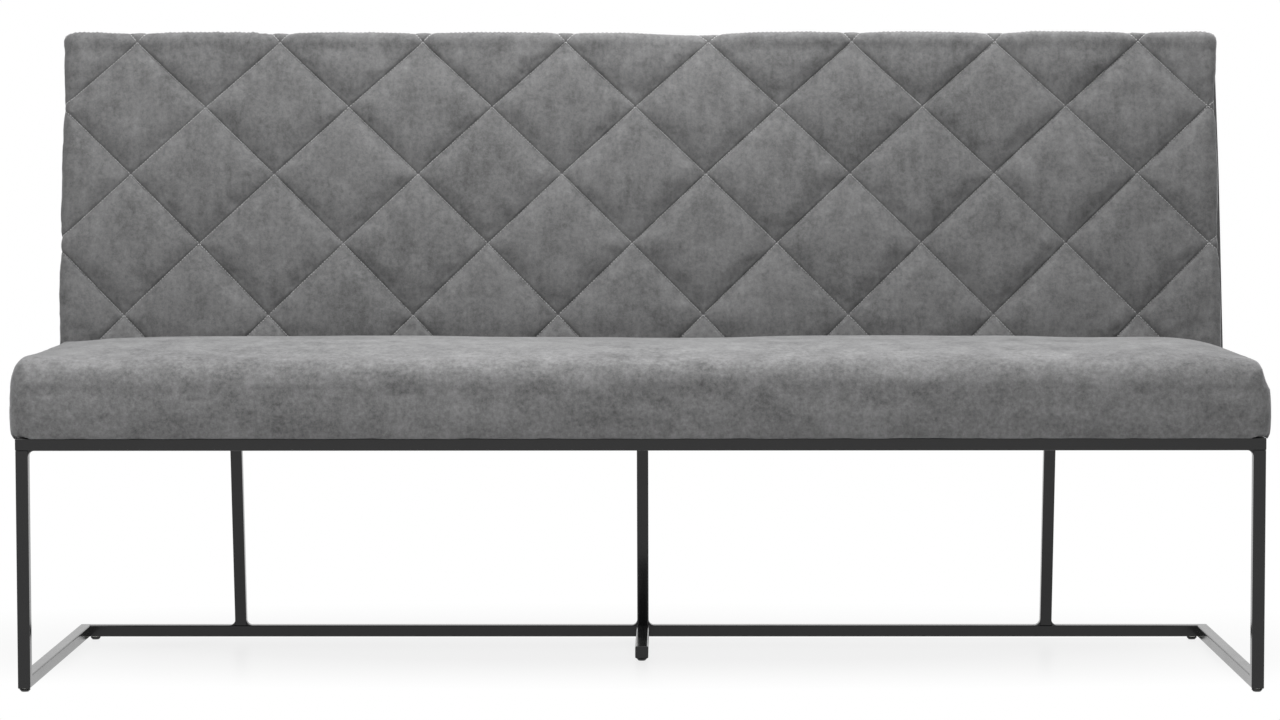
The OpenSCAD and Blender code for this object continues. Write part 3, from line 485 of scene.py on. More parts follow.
def settled(obj, held, pressure, growth, cap, frames=14, bending=0.6, stiffness=18.0):
    """Where a cover's points come to rest, in metres. The cover is loose cloth, larger than its
    start by the growth and blown up from inside. Held points stay, and no point moves further
    than the cap, in millimetres."""
    start = np.empty(len(obj.data.vertices) * 3)
    obj.data.vertices.foreach_get("co", start)
    start = start.reshape(-1, 3)
    group = obj.vertex_groups.new(name="held")
    levels = np.round(held * HELD_LEVELS).astype(int)
    for level in range(1, HELD_LEVELS + 1):
        group.add(np.nonzero(levels == level)[0].tolist(), level / HELD_LEVELS, "REPLACE")
    cloth = obj.modifiers.new("cloth", "CLOTH")
    rest = cloth.settings
    rest.quality = 5
    rest.mass = 0.15
    rest.tension_stiffness = rest.compression_stiffness = rest.shear_stiffness = stiffness
    rest.bending_stiffness = bending
    rest.vertex_group_mass = "held"
    rest.use_pressure = True
    rest.uniform_pressure_force = pressure
    rest.shrink_min = -growth
    rest.effector_weights.gravity = 0
    cloth.collision_settings.use_collision = False
    cloth.collision_settings.use_self_collision = False
    cloth.point_cache.frame_start, cloth.point_cache.frame_end = 1, frames
    for step in range(1, frames + 1):
        bpy.context.scene.frame_set(step)
    shape = obj.evaluated_get(bpy.context.evaluated_depsgraph_get()).to_mesh()
    end = np.empty(len(start) * 3)
    shape.vertices.foreach_get("co", end)
    obj.modifiers.remove(cloth)
    obj.vertex_groups.remove(group)
    bpy.context.scene.frame_set(1)
    move = end.reshape(-1, 3) - start
    size = np.linalg.norm(move, axis=1)[:, None] + 1e-12
    limit = cap * 0.001
    return start + move / size * limit * np.tanh(size / limit)


# Quilted back

def row_drop(j):
    """Distance of a row of crossings from the top of the back, before sewing."""
    return TOP_GAP + HALF_H * j + GROWTH * j * (j - 1) / 2


def lattice_x(i, j):
    return ((SEWN_WIDE + SEWN_WIDER * j) * LATTICE_HALF * (2 * i / COLS - 1)
            + SEWN_ASIDE + SEWN_DRIFT * j)


def lattice_s(j):
    return BACK_LEN - row_drop(j) + SEWN_UP


# The cover rolls back over its edges in quarter ellipses, as deep as it is thick
ROLL_B = QUILT_T
ROLL_TOP, ROLL_LOW = TOP_GAP, BACK_LEN - row_drop(ROWS)
QUARTER = np.linspace(0, math.pi / 2, 400)


def arc_steps(a, b):
    """Lengths of the short steps round a quarter ellipse."""
    return np.hypot(np.diff(a * np.sin(QUARTER)), np.diff(b * np.cos(QUARTER)))


def arc_length(a, b):
    return float(np.sum(arc_steps(a, b)))


ARC_X = arc_length(SIDE_ROLL, ROLL_B)
ARC_TOP = arc_length(ROLL_TOP, ROLL_B)
ARC_LOW = arc_length(ROLL_LOW, ROLL_B)
S_TOP, S_LOW = BACK_LEN - ROLL_TOP, ROLL_LOW

# Where the flat pattern ends
X_MAX = LATTICE_HALF + ARC_X
S_MAX, S_MIN = S_TOP + ARC_TOP, S_LOW - ARC_LOW


def turn_angle(over, a, b):
    """Angle round a quarter ellipse at a distance along it."""
    return np.interp(over, np.concatenate([[0], np.cumsum(arc_steps(a, b))]), QUARTER)


def quilt_surface(x, s):
    """Flat pattern coordinates to x, t and s of the cover's grooves, rolled round the edges."""
    angle_x = turn_angle(np.abs(x) - LATTICE_HALF, SIDE_ROLL, ROLL_B) * (np.abs(x) > LATTICE_HALF)
    up, low = s > S_TOP, s < S_LOW
    angle_s = np.where(up, turn_angle(s - S_TOP, ROLL_TOP, ROLL_B),
                       np.where(low, turn_angle(S_LOW - s, ROLL_LOW, ROLL_B), 0.0))
    rolled_x = np.sign(x) * (np.minimum(np.abs(x), LATTICE_HALF) + SIDE_ROLL * np.sin(angle_x))
    rolled_s = (np.clip(s, S_LOW, S_TOP) + np.where(up, ROLL_TOP, 0) * np.sin(angle_s)
                - np.where(low, ROLL_LOW, 0) * np.sin(angle_s))
    t = QUILT_T0 + ROLL_B * np.cos(angle_x) * np.cos(angle_s)
    # Corners seen from the front are rounded: a square corner is drawn in to a disc
    r = BACK_CORNER_R
    for side in (-1, 1):
        for top in (True, False):
            centre_x, centre_s = QUILT_HALF - r, (BACK_LEN - r) if top else r
            u = (side * rolled_x - centre_x) / r
            v = ((rolled_s - centre_s) if top else (centre_s - rolled_s)) / r
            inside = (u > 0) & (v > 0)
            disc_u = u * np.sqrt(np.maximum(1 - v * v / 2, 0))
            disc_v = v * np.sqrt(np.maximum(1 - u * u / 2, 0))
            rolled_x = np.where(inside, side * (centre_x + disc_u * r), rolled_x)
            rolled_s = np.where(inside, centre_s + (disc_v * r if top else -disc_v * r), rolled_s)
    return np.stack([rolled_x, t, rolled_s], -1)


def pad_profile(r):
    """Height of the padding across a diamond, r from 0 in its middle to 1 at a groove."""
    return sum(share * (1 - r ** power) for share, power in PAD_CURVES)


def quilt_flat(f):
    """Flat pattern of the quilted cover, with the given steps across each diamond: x, s and
    padding height of each vertex, and quads."""
    n = len(f) - 1
    p, q = np.meshgrid(f, f, indexing="ij")
    height = pad_profile(np.abs(2 * p - 1)) * pad_profile(np.abs(2 * q - 1))
    grid = np.arange((n + 1) ** 2).reshape(n + 1, n + 1)
    quads = np.stack([grid[:-1, :-1], grid[:-1, 1:], grid[1:, 1:], grid[1:, :-1]], -1).reshape(-1, 4)
    points, faces = [], []
    for j in range(-1, ROWS + 2):
        for i in range(-1, COLS + 2):
            if (i + j) % 2:
                continue
            top, right = (lattice_x(i, j - 1), lattice_s(j - 1)), (lattice_x(i + 1, j), lattice_s(j))
            foot, left = (lattice_x(i, j + 1), lattice_s(j + 1)), (lattice_x(i - 1, j), lattice_s(j))
            at = [(1 - p) * (1 - q) * a + p * (1 - q) * b + p * q * c + (1 - p) * q * d
                  for a, b, c, d in zip(top, right, foot, left)]
            faces.append(quads + len(points) * (n + 1) ** 2)
            points.append(np.stack([at[0], at[1], height], -1).reshape(-1, 3))
    points, faces = np.concatenate(points), np.concatenate(faces)
    # Diamonds share the points along their edges, which agree to a hundredth
    key = np.round(points[:, :2] * 100).astype(np.int64)
    _, first, where = np.unique(key, axis=0, return_index=True, return_inverse=True)
    return points[first], where.reshape(-1)[faces]


def clipped(points, faces, limits):
    """Cuts a flat pattern along lines, each a place and the direction to cut away."""
    mesh = bmesh.new()
    verts = [mesh.verts.new(p) for p in points]
    for f in faces:
        mesh.faces.new([verts[i] for i in f])
    for place, normal in limits:
        mesh_parts = mesh.verts[:] + mesh.edges[:] + mesh.faces[:]
        bmesh.ops.bisect_plane(mesh, geom=mesh_parts, dist=0.02, plane_co=place,
                               plane_no=normal, clear_outer=True)
    mesh.verts.index_update()
    out = np.array([v.co[:] for v in mesh.verts])
    cut = [[v.index for v in f.verts] for f in mesh.faces]
    mesh.free()
    return out, cut


def from_seam(x, s):
    """Distance of places on the pattern from the seam round it."""
    return np.minimum(X_MAX - np.abs(x), np.minimum(S_MAX - s, s - S_MIN))


def quilt_normals(x, s):
    """Outward directions on the rolled cover, taken a little inside its pattern, so that they
    exist at the corners too."""
    step, inside = 0.05, 0.4
    xi = np.clip(x, -X_MAX + inside, X_MAX - inside)
    si = np.clip(s, S_MIN + inside, S_MAX - inside)
    across = quilt_surface(xi + step, si) - quilt_surface(xi - step, si)
    along = quilt_surface(xi, si + step) - quilt_surface(xi, si - step)
    normal = np.cross(along, across)
    normal /= np.linalg.norm(normal, axis=1)[:, None]
    return normal * np.sign(normal @ np.array([0, 1.0, 0]) + 1e-9)[:, None]


def gathers(x, s):
    """Height of the gathers along the top edge and the foot, each a bent fold beside a hollow."""
    height = np.zeros(len(x))
    for spots, edge, way in ((PUCKERS, S_TOP + 10, 1), (FOOT_PUCKERS, S_LOW + 20, -1)):
        for place, width, most, length in spots:
            along = np.exp(-(((s - edge) * way + 18) / length) ** 2 * 2)
            bend = place + 4 * np.sin((s - edge) / 19)
            fold = np.exp(-((x - bend) / width) ** 2)
            hollow = np.exp(-((x - bend - 1.7 * width) / width) ** 2)
            height += most * along * (fold - 0.6 * hollow)
    return height


def near_end(x):
    """0 up to 500 mm from the middle of the back, 1 at 900 mm, on the side where x is positive."""
    return np.clip(x / 400 - 1.25, 0, 1) ** 2


def quilt_shape(x, s, pad):
    """The cover's points as x, t and s, padded out from its grooves."""
    # Padding fades to the seam all round, and evens out over the rolled edges
    fade = 1 - np.clip(1 - from_seam(x, s) / SEAM_FADE, 0, 1) ** 2
    over = np.maximum(np.abs(x) - LATTICE_HALF + EVEN_SIDE, 0) / (ARC_X + EVEN_SIDE)
    over_s = np.maximum(np.maximum(s - S_TOP, S_LOW - s) + EVEN_TOP, 0) / (ARC_TOP + EVEN_TOP)
    over = np.clip(np.hypot(over, 0.8 * over_s), 0, 1)
    even = over ** 2 * (3 - 2 * over)
    lift = PAD_H * ((1 - even) * pad + even * (EVEN_LOW + EVEN_MORE * pad)) * fade
    # Bumps, dents and upright creases between the grooves
    free = np.clip(pad * 2.2, 0, 1) * fade
    lift += free * (0.55 * smooth_noise(x, s, 38, 11) + 0.28 * smooth_noise(x, s, 17, 12) - 0.5)
    lift += free * 0.35 * smooth_noise(x * 2.6, s * 0.5, 30, 14)
    lift += free * gathers(x, s)
    # The top edge stands up, with a dip near the middle where fewer hands pulled it
    crest = np.exp(-((s - S_TOP - 0.6 * ARC_TOP) / 16) ** 2) * fade
    lift += crest * (TOP_FULL - TOP_TILT * x / QUILT_HALF
                     - TOP_DIP * np.exp(-((x - DIP_X) / DIP_W) ** 2)
                     + 0.8 * smooth_noise(x, s * 0, 120, 16))
    # Small folds across the side edges
    side = np.exp(-((X_MAX - np.abs(x)) / 26) ** 2)
    lift += side * fade * 0.45 * smooth_noise(x * 0.25, s, 11, 15)
    xts = quilt_surface(x, s) + quilt_normals(x, s) * lift[:, None]
    right = near_end(x) * np.clip((BACK_LEN - 22 - s) / 50, 0, 1)
    left = near_end(-x) * np.clip((175 - s) / 60, 0, 1)
    xts[:, 0] = (BACK_ASIDE + xts[:, 0] * (1 + BACK_FULL / QUILT_HALF)
                 - RIGHT_SHORT * right + LEFT_SHORT * left)
    return xts


def quilt_mesh(name, steps):
    """Quilted cover on a pattern with the given steps, and the pattern it was cut from."""
    points, faces = clipped(*quilt_flat(steps), [
        ((X_MAX, 0, 0), (1, 0, 0)), ((-X_MAX, 0, 0), (-1, 0, 0)),
        ((0, S_MAX, 0), (0, 1, 0)), ((0, S_MIN, 0), (0, -1, 0))])
    xts = quilt_shape(*points.T)
    return new_object(name, on_back(*xts.T), faces), points, faces


def sewn_slack(x, s):
    """How the cover, sewn down along its grooves and a little too large, comes to rest: moves
    in metres at each place of the pattern."""
    obj, points, faces = quilt_mesh("slack", np.linspace(0, 1, SLACK_STEPS))
    seam = from_seam(points[:, 0], points[:, 1])
    held = np.where((points[:, 2] < 1e-6) | (seam < 1), 1.0, np.clip(1 - seam / 12, 0, 1))
    held = np.maximum(held, np.clip((BEHIND_SEAT - points[:, 1]) / 30, 0, 1))
    start = np.array([v.co[:] for v in obj.data.vertices])
    move = settled(obj, held, QUILT_PRESSURE, QUILT_GROWTH, QUILT_CAP) - start
    bpy.data.objects.remove(obj)
    flat = [Vector((px, ps, 0)) for px, ps, _ in points]
    tree = BVHTree.FromPolygons(flat, faces)
    carried = np.zeros((len(x), 3))
    for k, place in enumerate(zip(x, s)):
        _, _, face, _ = tree.find_nearest((*place, 0))
        corners = faces[face]
        weights = interpolate.poly_3d_calc([flat[c] for c in corners], Vector((*place, 0)))
        for c, weight in zip(corners, weights):
            carried[k] += weight * move[c]
    return carried


def groove_steps(finest=0.7, growth=1.27, coarsest=4.4, count=21):
    """Places across a diamond from 0 to 1, close together next to its two grooves."""
    half = np.minimum(finest * growth ** np.arange(count), coarsest)
    run = np.concatenate([[0], np.cumsum(half)]) / (2 * half.sum())
    return np.concatenate([run, 1 - run[-2::-1]])


def quilted_back():
    obj, points, _ = quilt_mesh("quilted_back", groove_steps())
    at = np.array([v.co[:] for v in obj.data.vertices]) + sewn_slack(points[:, 0], points[:, 1])
    obj.data.vertices.foreach_set("co", at.reshape(-1))
    obj.data.update()
    obj.data.materials.append(BACK_FABRIC)
    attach(obj, "bench")
    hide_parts("back_quilted_cover", "back_foam")
    return obj


def stitch_beads(lines, name, length=3.7, pitch=4.8, radius=0.55):
    """Short rounded stitches along lines of points in the part's frame."""
    sides, profile = 6, [(-0.5, 0.35), (-0.3, 1.0), (0.3, 1.0), (0.5, 0.35)]
    last = len(profile) - 1
    points, faces = [], []
    for line in lines:
        steps = np.linalg.norm(np.diff(line, axis=0), axis=1)
        run = np.concatenate([[0], np.cumsum(steps)])
        for d in np.arange(pitch / 2, run[-1] - pitch / 2, pitch):
            a = np.array([np.interp(d - length / 2, run, line[:, c]) for c in range(3)])
            b = np.array([np.interp(d + length / 2, run, line[:, c]) for c in range(3)])
            way = (b - a) / np.linalg.norm(b - a)
            # Two directions across the stitch, from one that no groove runs along
            u = np.cross(way, (0, 1, 0.02))
            u /= np.linalg.norm(u)
            v = np.cross(way, u)
            base = len(points)
            for f, r in profile:
                centre = (a + b) / 2 + way * length * f
                for k in range(sides):
                    w = 2 * math.pi * k / sides
                    points.append(centre + radius * r * (u * math.cos(w) + v * math.sin(w)))
            faces += [[base + i for i in face] for face in loft_faces(last + 1, sides)]
            faces.append([base + i for i in range(sides)][::-1])
            faces.append([base + last * sides + i for i in range(sides)])
    obj = new_object(name, np.array(points), faces)
    obj.data.materials.append(THREAD)
    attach(obj, "bench")
    return obj


def groove_lines():
    """Each groove between two crossings, over the rolled edges to just short of the seam."""
    lines = []
    for j in range(-1, ROWS + 1):
        for i in range(-1, COLS + 1):
            a, b = ((i, j), (i + 1, j + 1)) if (i + j) % 2 else ((i + 1, j), (i, j + 1))
            f = np.linspace(0, 1, 60)
            x = lattice_x(*a) * (1 - f) + lattice_x(*b) * f
            s = lattice_s(a[1]) * (1 - f) + lattice_s(b[1]) * f
            keep = from_seam(x, s) > THREAD_END
            if keep.sum() < 4:
                continue
            xts = quilt_shape(x[keep], s[keep], np.zeros(keep.sum()))
            xts[:, 1] += THREAD_LIFT
            lines.append(on_back(*xts.T))
    return lines


# Rear cover

def rear_profile(slot_t):
    """Inset and t of each loop of the rear cover: its turned-in rim, its sides with a band for
    the slots, the rounded rear edge, and its rear face."""
    profile = [(RIM, QUILT_T0 - 1.6), (1.2, QUILT_T0 - FIT_GAP), (0.4, QUILT_T0 - 0.6),
               (0.0, QUILT_T0 - 2.2)]
    for t in (*np.linspace(SIDE_T, slot_t[1], 8), slot_t[0], REAR_EDGE_R):
        profile.append((0.0, t))
    for a in np.radians(np.linspace(10, 90, 9)):
        profile.append((REAR_EDGE_R * (1 - math.cos(a)), REAR_EDGE_R * (1 - math.sin(a))))
    for inset in np.linspace(12, 60, 9):
        profile.append((inset, 0.0))
    return profile


def in_slot(centre, slots, slot_t):
    """Whether a face's centre lies in one of the slots in the cover's foot."""
    x, t, s = centre
    return s < 0.5 and slot_t[0] < t < slot_t[1] and any(a < x < b for a, b in slots)


def rear_form():
    """The rear cover's points as x, t and s, still plain, and its faces, with a slot in its foot
    for each steel bar."""
    counts = 240, 80, 4
    slot_t = UPRIGHT_T0 - SLOT_CLEAR_T, UPRIGHT_T0 + UPRIGHT_T + SLOT_CLEAR_T
    slots = [(place - UPRIGHT_W / 2 - SLOT_CLEAR_X, place + UPRIGHT_W / 2 + SLOT_CLEAR_X)
             for place in (-POST_X, 0, POST_X)]
    profile = rear_profile(slot_t)
    sides = [(inset - BENCH_W / 2, BENCH_W / 2 - inset, inset, BACK_LEN - inset,
              max(BACK_CORNER_R - inset, BACK_CORNER_R / 3)) for inset, _ in profile]
    loops = [ring(*side, *counts) for side in sides]
    # The points nearest to a slot's edges are moved onto them, on the sides and round the edge
    for edge in np.ravel(slots):
        k = np.argmin(np.abs(loops[0][:counts[0], 0] - edge))
        for q, (inset, _) in zip(loops, profile):
            if inset < RIM:
                q[k, 0] = edge
    n = len(loops[0])
    inner, panel = closing(sides[-1], counts, (len(loops) - 1) * n, len(loops) * n)
    xts = np.concatenate([np.column_stack([q[:, 0], np.full(n, t), q[:, 1]])
                          for q, (_, t) in zip(loops, profile)]
                         + [np.column_stack([inner[:, 0], np.zeros(len(inner)), inner[:, 1]])])
    faces = [f for f in loft_faces(len(loops), n)
             if not in_slot(xts[list(f)].mean(0), slots, slot_t)]
    return xts, faces + panel


def rear_shape(x, t, s):
    """The rear cover drawn in between the rails, wavy along its sides, and as wide as the quilted
    cover where it meets it."""
    on_face = t < 0.01
    span = np.minimum(BENCH_W / 2 - np.abs(x), np.minimum(s, BACK_LEN - s))
    sag = REAR_SAG * (1 - np.exp(-np.maximum(span - 60, 0) / 50))
    ripple = 0.4 * smooth_noise(x, s, 60, 21) + 0.2 * smooth_noise(x, s, 24, 22)
    t = np.where(on_face, t + sag + np.clip(span / 40, 0, 1) * (0.5 + 0.5 * ripple), t)
    wave = 0.35 * smooth_noise(x + s, t * 0.7, 45, 23)
    side = (~on_face) & (t > REAR_EDGE_R) & (t < SIDE_T) & (np.abs(x) > BENCH_W / 2 - 1)
    x = np.where(side, x - np.sign(x) * (0.35 + wave), x)
    proud = RIGHT_PROUD * (x > BENCH_W / 2 - 2 * RIM) * np.clip((BACK_LEN - 20 - s) / 200, 0, 1)
    x = x + (BACK_ASIDE + x * BACK_FULL / QUILT_HALF + proud) * np.clip(t / QUILT_T0, 0, 1) ** 2
    return x, t, s


def rear_cover():
    """Plain cover over the back's rear, sides, top and foot."""
    xts, faces = rear_form()
    obj = new_object("rear_cover", on_back(*rear_shape(*xts.T)), faces)
    obj.data.materials.append(REAR_FABRIC)
    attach(obj, "bench")
    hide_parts("back_rear_cover")
    return obj


# Seat cushion

def seat_rear(z):
    """Rear face of the cushion at a height, in the part's frame."""
    return FOOT_Y - (BACK_T + BACK_GAP) / math.cos(LEAN) + (z - FRAME_TOP) * math.tan(LEAN)


def end_x(inset, turned=0.0):
    """Half length of the cushion where its sides are drawn in by an inset."""
    return BENCH_W / 2 + SEAT_END_REACH - (inset - turned) * END_SHARE - turned


def rise(u):
    """Share of the crown reached at a share u of the way in from the edge."""
    return 1 - (1 - np.clip(u, 0, 1)) ** 2


# Loops of the cushion that lie on the deck or under it
HIDDEN_LOOPS = 6


def seat_profile():
    """Inset, height and half length of each loop of the cushion: six hidden ones round the deck
    and its turned-in rim, then the lower edge, the bowed side and the rounded upper edge."""
    deck_top = SEAT_Z0 + COVER_T + FIT_GAP + DECK_T
    rim = SEAT_BOW + SEAT_BOTTOM_R + SEAT_TURN_IN
    rim_x = end_x(rim, SEAT_TURN_IN)
    pocket = SEAT_BOW + SEAT_BOTTOM_R - 0.9
    pocket_x = end_x(SEAT_BOW + SEAT_BOTTOM_R - COVER_T - FIT_GAP) - COVER_T - FIT_GAP + 0.8
    profile = [(pocket, deck_top + FIT_GAP, pocket_x), (pocket, SEAT_Z0 + COVER_T, pocket_x),
               (rim, SEAT_Z0 + COVER_T, rim_x), (rim + 0.6, SEAT_Z0 + 1.0, rim_x - 0.6),
               (rim, SEAT_Z0, rim_x), ((rim + 12) / 2, SEAT_Z0, (rim_x + end_x(12)) / 2)]
    for a in np.radians(np.linspace(0, 82, 6)):
        inset = SEAT_BOW + SEAT_BOTTOM_R * (1 - math.sin(a))
        profile.append((inset, SEAT_Z0 + SEAT_BOTTOM_R * (1 - math.cos(a)), end_x(inset)))
    for v in np.linspace(0, 1, 13):
        inset = SEAT_BOW * (2 * v - 1) ** 2
        profile.append((inset, SEAT_SIDE_Z + v * (SEAT_ARC_Z - SEAT_SIDE_Z), end_x(inset)))
    arc_in = SEAT_BOW + SEAT_TOP_R
    half = (seat_rear(SEAT_ARC_Z) - SEAT_FRONT) / 2 - 6
    slope = math.atan(2 * SEAT_CROWN / (half - arc_in))
    for a in np.linspace(0, math.pi / 2 - slope, 13)[1:]:
        inset = arc_in - SEAT_TOP_R * math.cos(a)
        profile.append((inset, SEAT_ARC_Z + SEAT_TOP_R * math.sin(a), end_x(inset)))
    return profile


def seat_form():
    """The cushion's points, still even, its faces, and which points lie outside the deck."""
    counts = 240, 64, 7
    profile = seat_profile()
    sides = []
    for inset, z, x in profile:
        y0, y1 = SEAT_FRONT + inset, seat_rear(z) - inset
        sides.append((-x, x, y0, y1, max(SEAT_CORNER_R - inset, SEAT_CORNER_R / 2)))
    loops = [ring(*side, *counts) for side in sides]
    n = len(loops[0])
    points = [np.column_stack([q, np.full(n, row[1])]) for q, row in zip(loops, profile)]
    # The top closes with a crown, and the pocket for the deck with a flat roof
    top_from = len(loops) * n
    inner, top = closing(sides[-1], counts, top_from - n, top_from)
    roof, deck = closing(sides[0], counts, 0, top_from + len(inner))
    _, x1, y0, y1, _ = sides[-1]
    crown = (SEAT_CROWN * rise((x1 - np.abs(inner[:, 0])) / END_RISE)
             * rise(np.minimum(inner[:, 1] - y0, y1 - inner[:, 1]) / ((y1 - y0) / 2)))
    points.append(np.column_stack([inner, profile[-1][1] + crown]))
    points.append(np.column_stack([roof, np.full(len(roof), profile[0][1])]))
    faces = loft_faces(len(loops), n) + top + [f[::-1] for f in deck]
    points = np.concatenate(points)
    place = np.arange(len(points))
    return points, faces, (place >= HIDDEN_LOOPS * n) & (place < top_from + len(inner))


def seat_shape(x, y, z, outside):
    """The cushion with the soft unevenness of a hand-made one, none below where it lies on the
    deck, with its own shoulder at each end, and its lower edge hanging down."""
    in_from_edge = np.minimum(y - SEAT_FRONT, seat_rear(z) - y)
    upper = np.clip((z - SEAT_ARC_Z) / SEAT_TOP_R, 0, 1) * outside
    wide = 1.3 * smooth_noise(x, y, 210, 31) + 0.6 * smooth_noise(x, y, 90, 32)
    z = z + upper * wide * np.clip(in_from_edge / 60, 0, 1)
    level = np.clip((z - SEAT_SIDE_Z) / 40, 0, 1)
    press = 0.9 * smooth_noise(x, z * 2, 150, 33) + 0.4 * smooth_noise(x, z * 1.5, 55, 34)
    front = outside & (y < SEAT_FRONT + 30)
    y = np.where(front, y + level * (1 - upper) * np.maximum(press + 0.3, -0.4), y)
    past_end = np.clip((np.abs(x) - end_x(SEAT_BOW + SEAT_BOTTOM_R - 2.4)) / 0.6, 0, 1) * outside
    x, z = full_ends(x, z, upper, outside)
    return hanging_hem(x, y, z, past_end, outside)


def full_ends(x, z, upper, outside):
    """A full shoulder at the left end and a flatter one at the right, both proud of the frame."""
    in_from_end = np.clip((end_x(0) - np.abs(x)) / END_LIFT_W, 0, 1)
    z = z + np.where(x < 0, LEFT_LIFT, RIGHT_LIFT) * upper * (1 - in_from_end ** 2) ** 2
    end = np.clip(1 - (end_x(0) - np.abs(x)) / END_FULL_W, 0, 1) ** 2
    above = np.clip((z - SEAT_Z0 - COVER_T) / 7, 0, 1) * outside
    x = x + above * end * (np.sign(x) * END_FULL + END_ASIDE)
    x = x - (x > 0) * RIGHT_DRAWN * end * 4 * upper * (1 - upper)
    return x, z


def hanging_hem(x, y, z, past_end, outside):
    """The cover's lower edge rolled down in front of the apron and past the frame's ends."""
    hem = np.clip(1 - (z - SEAT_Z0) / HEM_H, 0, 1) * outside
    before = np.clip((OVERHANG - 0.2 - (y - SEAT_FRONT)) / 0.4, 0, 1)
    y = y - HEM_CLEAR * before * (y - SEAT_FRONT > OVERHANG - 1)
    z = z + hem * (0.5 * np.maximum(smooth_noise(x, y, 28, 35), -0.2)
                   - HEM_DROP * np.maximum(before, past_end))
    return x, y, z


def seat_cushion():
    points, faces, outside = seat_form()
    x, y, z = seat_shape(*points.T, outside)
    obj = new_object("seat_cushion", np.stack([x, y, z], -1), faces)
    low = 1 - np.clip((z - SEAT_Z0 - 12) / 30, 0, 1)
    behind = np.clip((y - seat_rear(z) + 45) / 20, 0, 1)
    held = np.where(outside, np.maximum(low, behind), 1.0)
    end = settled(obj, held, SEAT_PRESSURE, SEAT_GROWTH, SEAT_CAP)
    obj.data.vertices.foreach_set("co", end.reshape(-1))
    obj.data.update()
    obj.data.materials.append(SEAT_FABRIC)
    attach(obj, "bench")
    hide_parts("seat_cover", "seat_foam")
    return obj


# Dust cover

def dust_hang(x, y):
    """How far down the lining hangs, from 0 to 1, in the bays between the rails and clear of the
    tabs on them."""
    rails = [[1000 * edge[0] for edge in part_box(rail)] for rail in (
        "left_apron_rail", "left_cross_rail", "centre_cross_rail", "right_cross_rail",
        "right_apron_rail")]
    front, rear = 1000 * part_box("front_apron_rail")[1][1], 1000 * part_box("rear_apron_rail")[0][1]
    hang = np.zeros(len(x))
    for left, right in zip(rails[:-1], rails[1:]):
        across = np.minimum(x - left[1], right[0] - x) - TAB_CLEAR
        along = np.minimum(y - front, rear - y) - 6
        hang += rise(across / 70) * (across > 0) * rise(along / 70) * (along > 0)
    return hang


def dust_cover():
    """Thin lining under the seat, folded under at its edge, hanging a little between the rails."""
    lo, hi = (1000 * np.array(corner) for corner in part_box("seat_dust_cover"))
    counts = 220, 60, 6
    # Inset and height of each loop: the hem's inner edge, the fold, and the sheet above it
    top = hi[2] - 0.1
    profile = [(DUST_HEM, top - 0.5), (0.0, top - 0.5), (-0.3, top - 0.25), (0.0, top),
               (DUST_HEM, top)]
    sides = [(lo[0] + inset, hi[0] - inset, lo[1] + inset, hi[1] - inset, SEAT_CORNER_R - inset)
             for inset, _ in profile]
    loops = [ring(*side, *counts) for side in sides]
    n = len(loops[0])
    inner, sheet = closing(sides[-1], counts, (len(loops) - 1) * n, len(loops) * n)
    x, y = inner.T
    folds = 0.5 + 0.5 * smooth_noise(x * 0.5 + y * 0.2, y, 60, 41)
    low = top - DUST_SAG * dust_hang(x, y) * (0.6 + 0.4 * folds) - 0.15 * smooth_noise(x, y, 25, 42)
    points = np.concatenate([np.column_stack([q, np.full(n, z)]) for q, (_, z) in zip(loops, profile)]
                            + [np.column_stack([inner, low])])
    obj = new_object("dust_cover", points, loft_faces(len(loops), n) + sheet)
    obj.data.materials.append(LINING)
    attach(obj, "bench")
    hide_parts("seat_dust_cover")
    return obj


quilted_back()
stitch_beads(groove_lines(), "quilting_stitches")
rear_cover()
seat_cushion()
dust_cover()


# Floor and lighting

def seen_share(tree):
    """1 for what the camera sees, also in gloss and through glass, and 0 for light."""
    path = tree.nodes.new("ShaderNodeLightPath")
    seen = maths(tree, "MAXIMUM", path.outputs["Is Camera Ray"], path.outputs["Is Glossy Ray"])
    return maths(tree, "MAXIMUM", seen, path.outputs["Is Transmission Ray"])


def mixed(tree, share, shader, other, output):
    """Gives a material or world two shaders, mixed by a share of the second."""
    mix = tree.nodes.new("ShaderNodeMixShader")
    set_inputs(mix, {0: share, 1: shader.outputs[0], 2: other.outputs[0]})
    set_inputs(output, {"Surface": mix.outputs[0]})


def floor(reach=9000):
    """Pale floor that turns plain white outside an oval round the object."""
    corners = [(-reach, -reach, 0), (reach, -reach, 0), (reach, reach, 0), (-reach, reach, 0)]
    obj = new_object("floor", corners, [(0, 1, 2, 3)], smooth=False)
    material, tree, shader, coords = node_material("pale_floor")
    set_inputs(shader, {"Base Color": (0.7, 0.7, 0.7, 1), "Roughness": 0.28, "Specular IOR Level": 0.5})
    white = tree.nodes.new("ShaderNodeEmission")
    set_inputs(white, {"Color": (1, 1, 1, 1)})
    oval = tree.nodes.new("ShaderNodeMapping")
    set_inputs(oval, {"Scale": (0.4, 1.5, 1.0), "Location": (0.0, -0.3, 0.0), "Vector": coords})
    distance = tree.nodes.new("ShaderNodeVectorMath")
    distance.operation = "LENGTH"
    set_inputs(distance, {0: oval.outputs["Vector"]})
    far = spread(tree, distance.outputs["Value"], 0.3, 0.75, 0.8, 1.0)
    share = maths(tree, "MULTIPLY", seen_share(tree), far)
    mixed(tree, share, shader, white, tree.nodes["Material Output"])
    obj.data.materials.append(material)


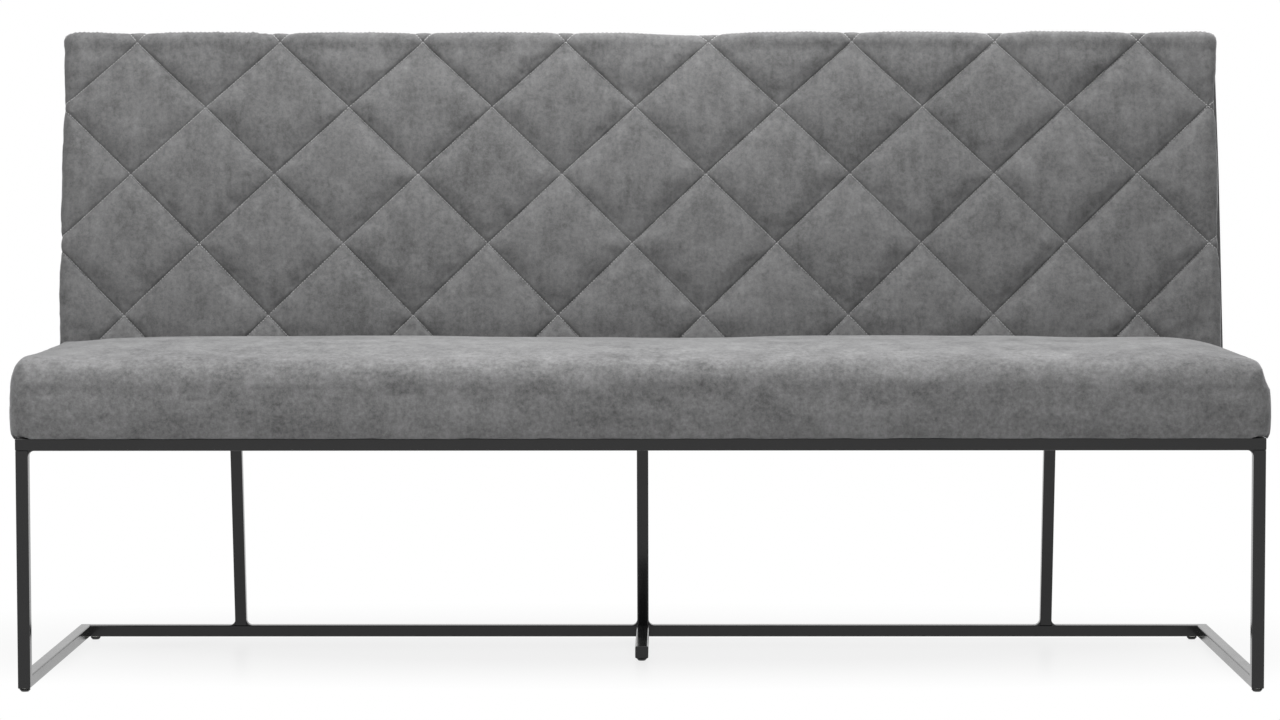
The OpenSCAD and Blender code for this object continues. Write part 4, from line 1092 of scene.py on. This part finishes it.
def world():
    """White behind the object; a plain sky, brighter overhead, lights it."""
    sky = bpy.data.worlds.new("studio")
    bpy.context.scene.world = sky
    sky.use_nodes = True
    tree = sky.node_tree
    tree.nodes.clear()
    light, white = tree.nodes.new("ShaderNodeBackground"), tree.nodes.new("ShaderNodeBackground")
    up = tree.nodes.new("ShaderNodeSeparateXYZ")
    set_inputs(up, {0: tree.nodes.new("ShaderNodeTexCoord").outputs["Generated"]})
    strength = spread(tree, up.outputs["Z"], 0.0, 1.0, 0.24, 0.5)
    set_inputs(light, {"Color": (1, 1, 1, 1), "Strength": strength})
    set_inputs(white, {"Color": (1, 1, 1, 1)})
    mixed(tree, seen_share(tree), light, white, tree.nodes.new("ShaderNodeOutputWorld"))


def lamp(name, place, target, size, power):
    """Soft rectangular lamp at a place, aimed at a target, in metres and watts."""
    data = bpy.data.lights.new(name, "AREA")
    data.shape = "RECTANGLE"
    data.size, data.size_y = size
    data.energy = power
    obj = bpy.data.objects.new(name, data)
    obj.location = place
    obj.rotation_euler = (Vector(target) - Vector(place)).to_track_quat("-Z", "Y").to_euler()
    bpy.context.scene.collection.objects.link(obj)


def camera():
    """Where the photograph was taken from, fitted to the frame's corners."""
    forward = Vector((math.sin(YAW) * math.cos(PITCH), math.cos(YAW) * math.cos(PITCH),
                      -math.sin(PITCH)))
    level_right = Vector((math.cos(YAW), -math.sin(YAW), 0))
    level_up = level_right.cross(forward)
    right = level_right * math.cos(ROLL) + level_up * math.sin(ROLL)
    up = level_up * math.cos(ROLL) - level_right * math.sin(ROLL)
    data = bpy.data.cameras.new("camera")
    data.sensor_width = SENSOR_W
    data.lens = FOCAL_PX * SENSOR_W / PHOTO_W
    data.shift_x = SHIFT_PX / PHOTO_W
    obj = bpy.data.objects.new("camera", data)
    turn = Matrix((right, up, -forward)).transposed()
    place = CAMERA_X / 1000, (SEAT_FRONT + OVERHANG - CAMERA_AWAY) / 1000, CAMERA_H / 1000
    obj.matrix_world = Matrix.Translation(place) @ turn.to_4x4()
    bpy.context.scene.collection.objects.link(obj)
    bpy.context.scene.camera = obj


floor()
world()
lamp("key", (0.2, -0.12, 2.25), (0.1, 0.0, 0.5), (4.0, 1.4), 80)
camera()
bpy.context.scene.view_settings.view_transform = "Standard"
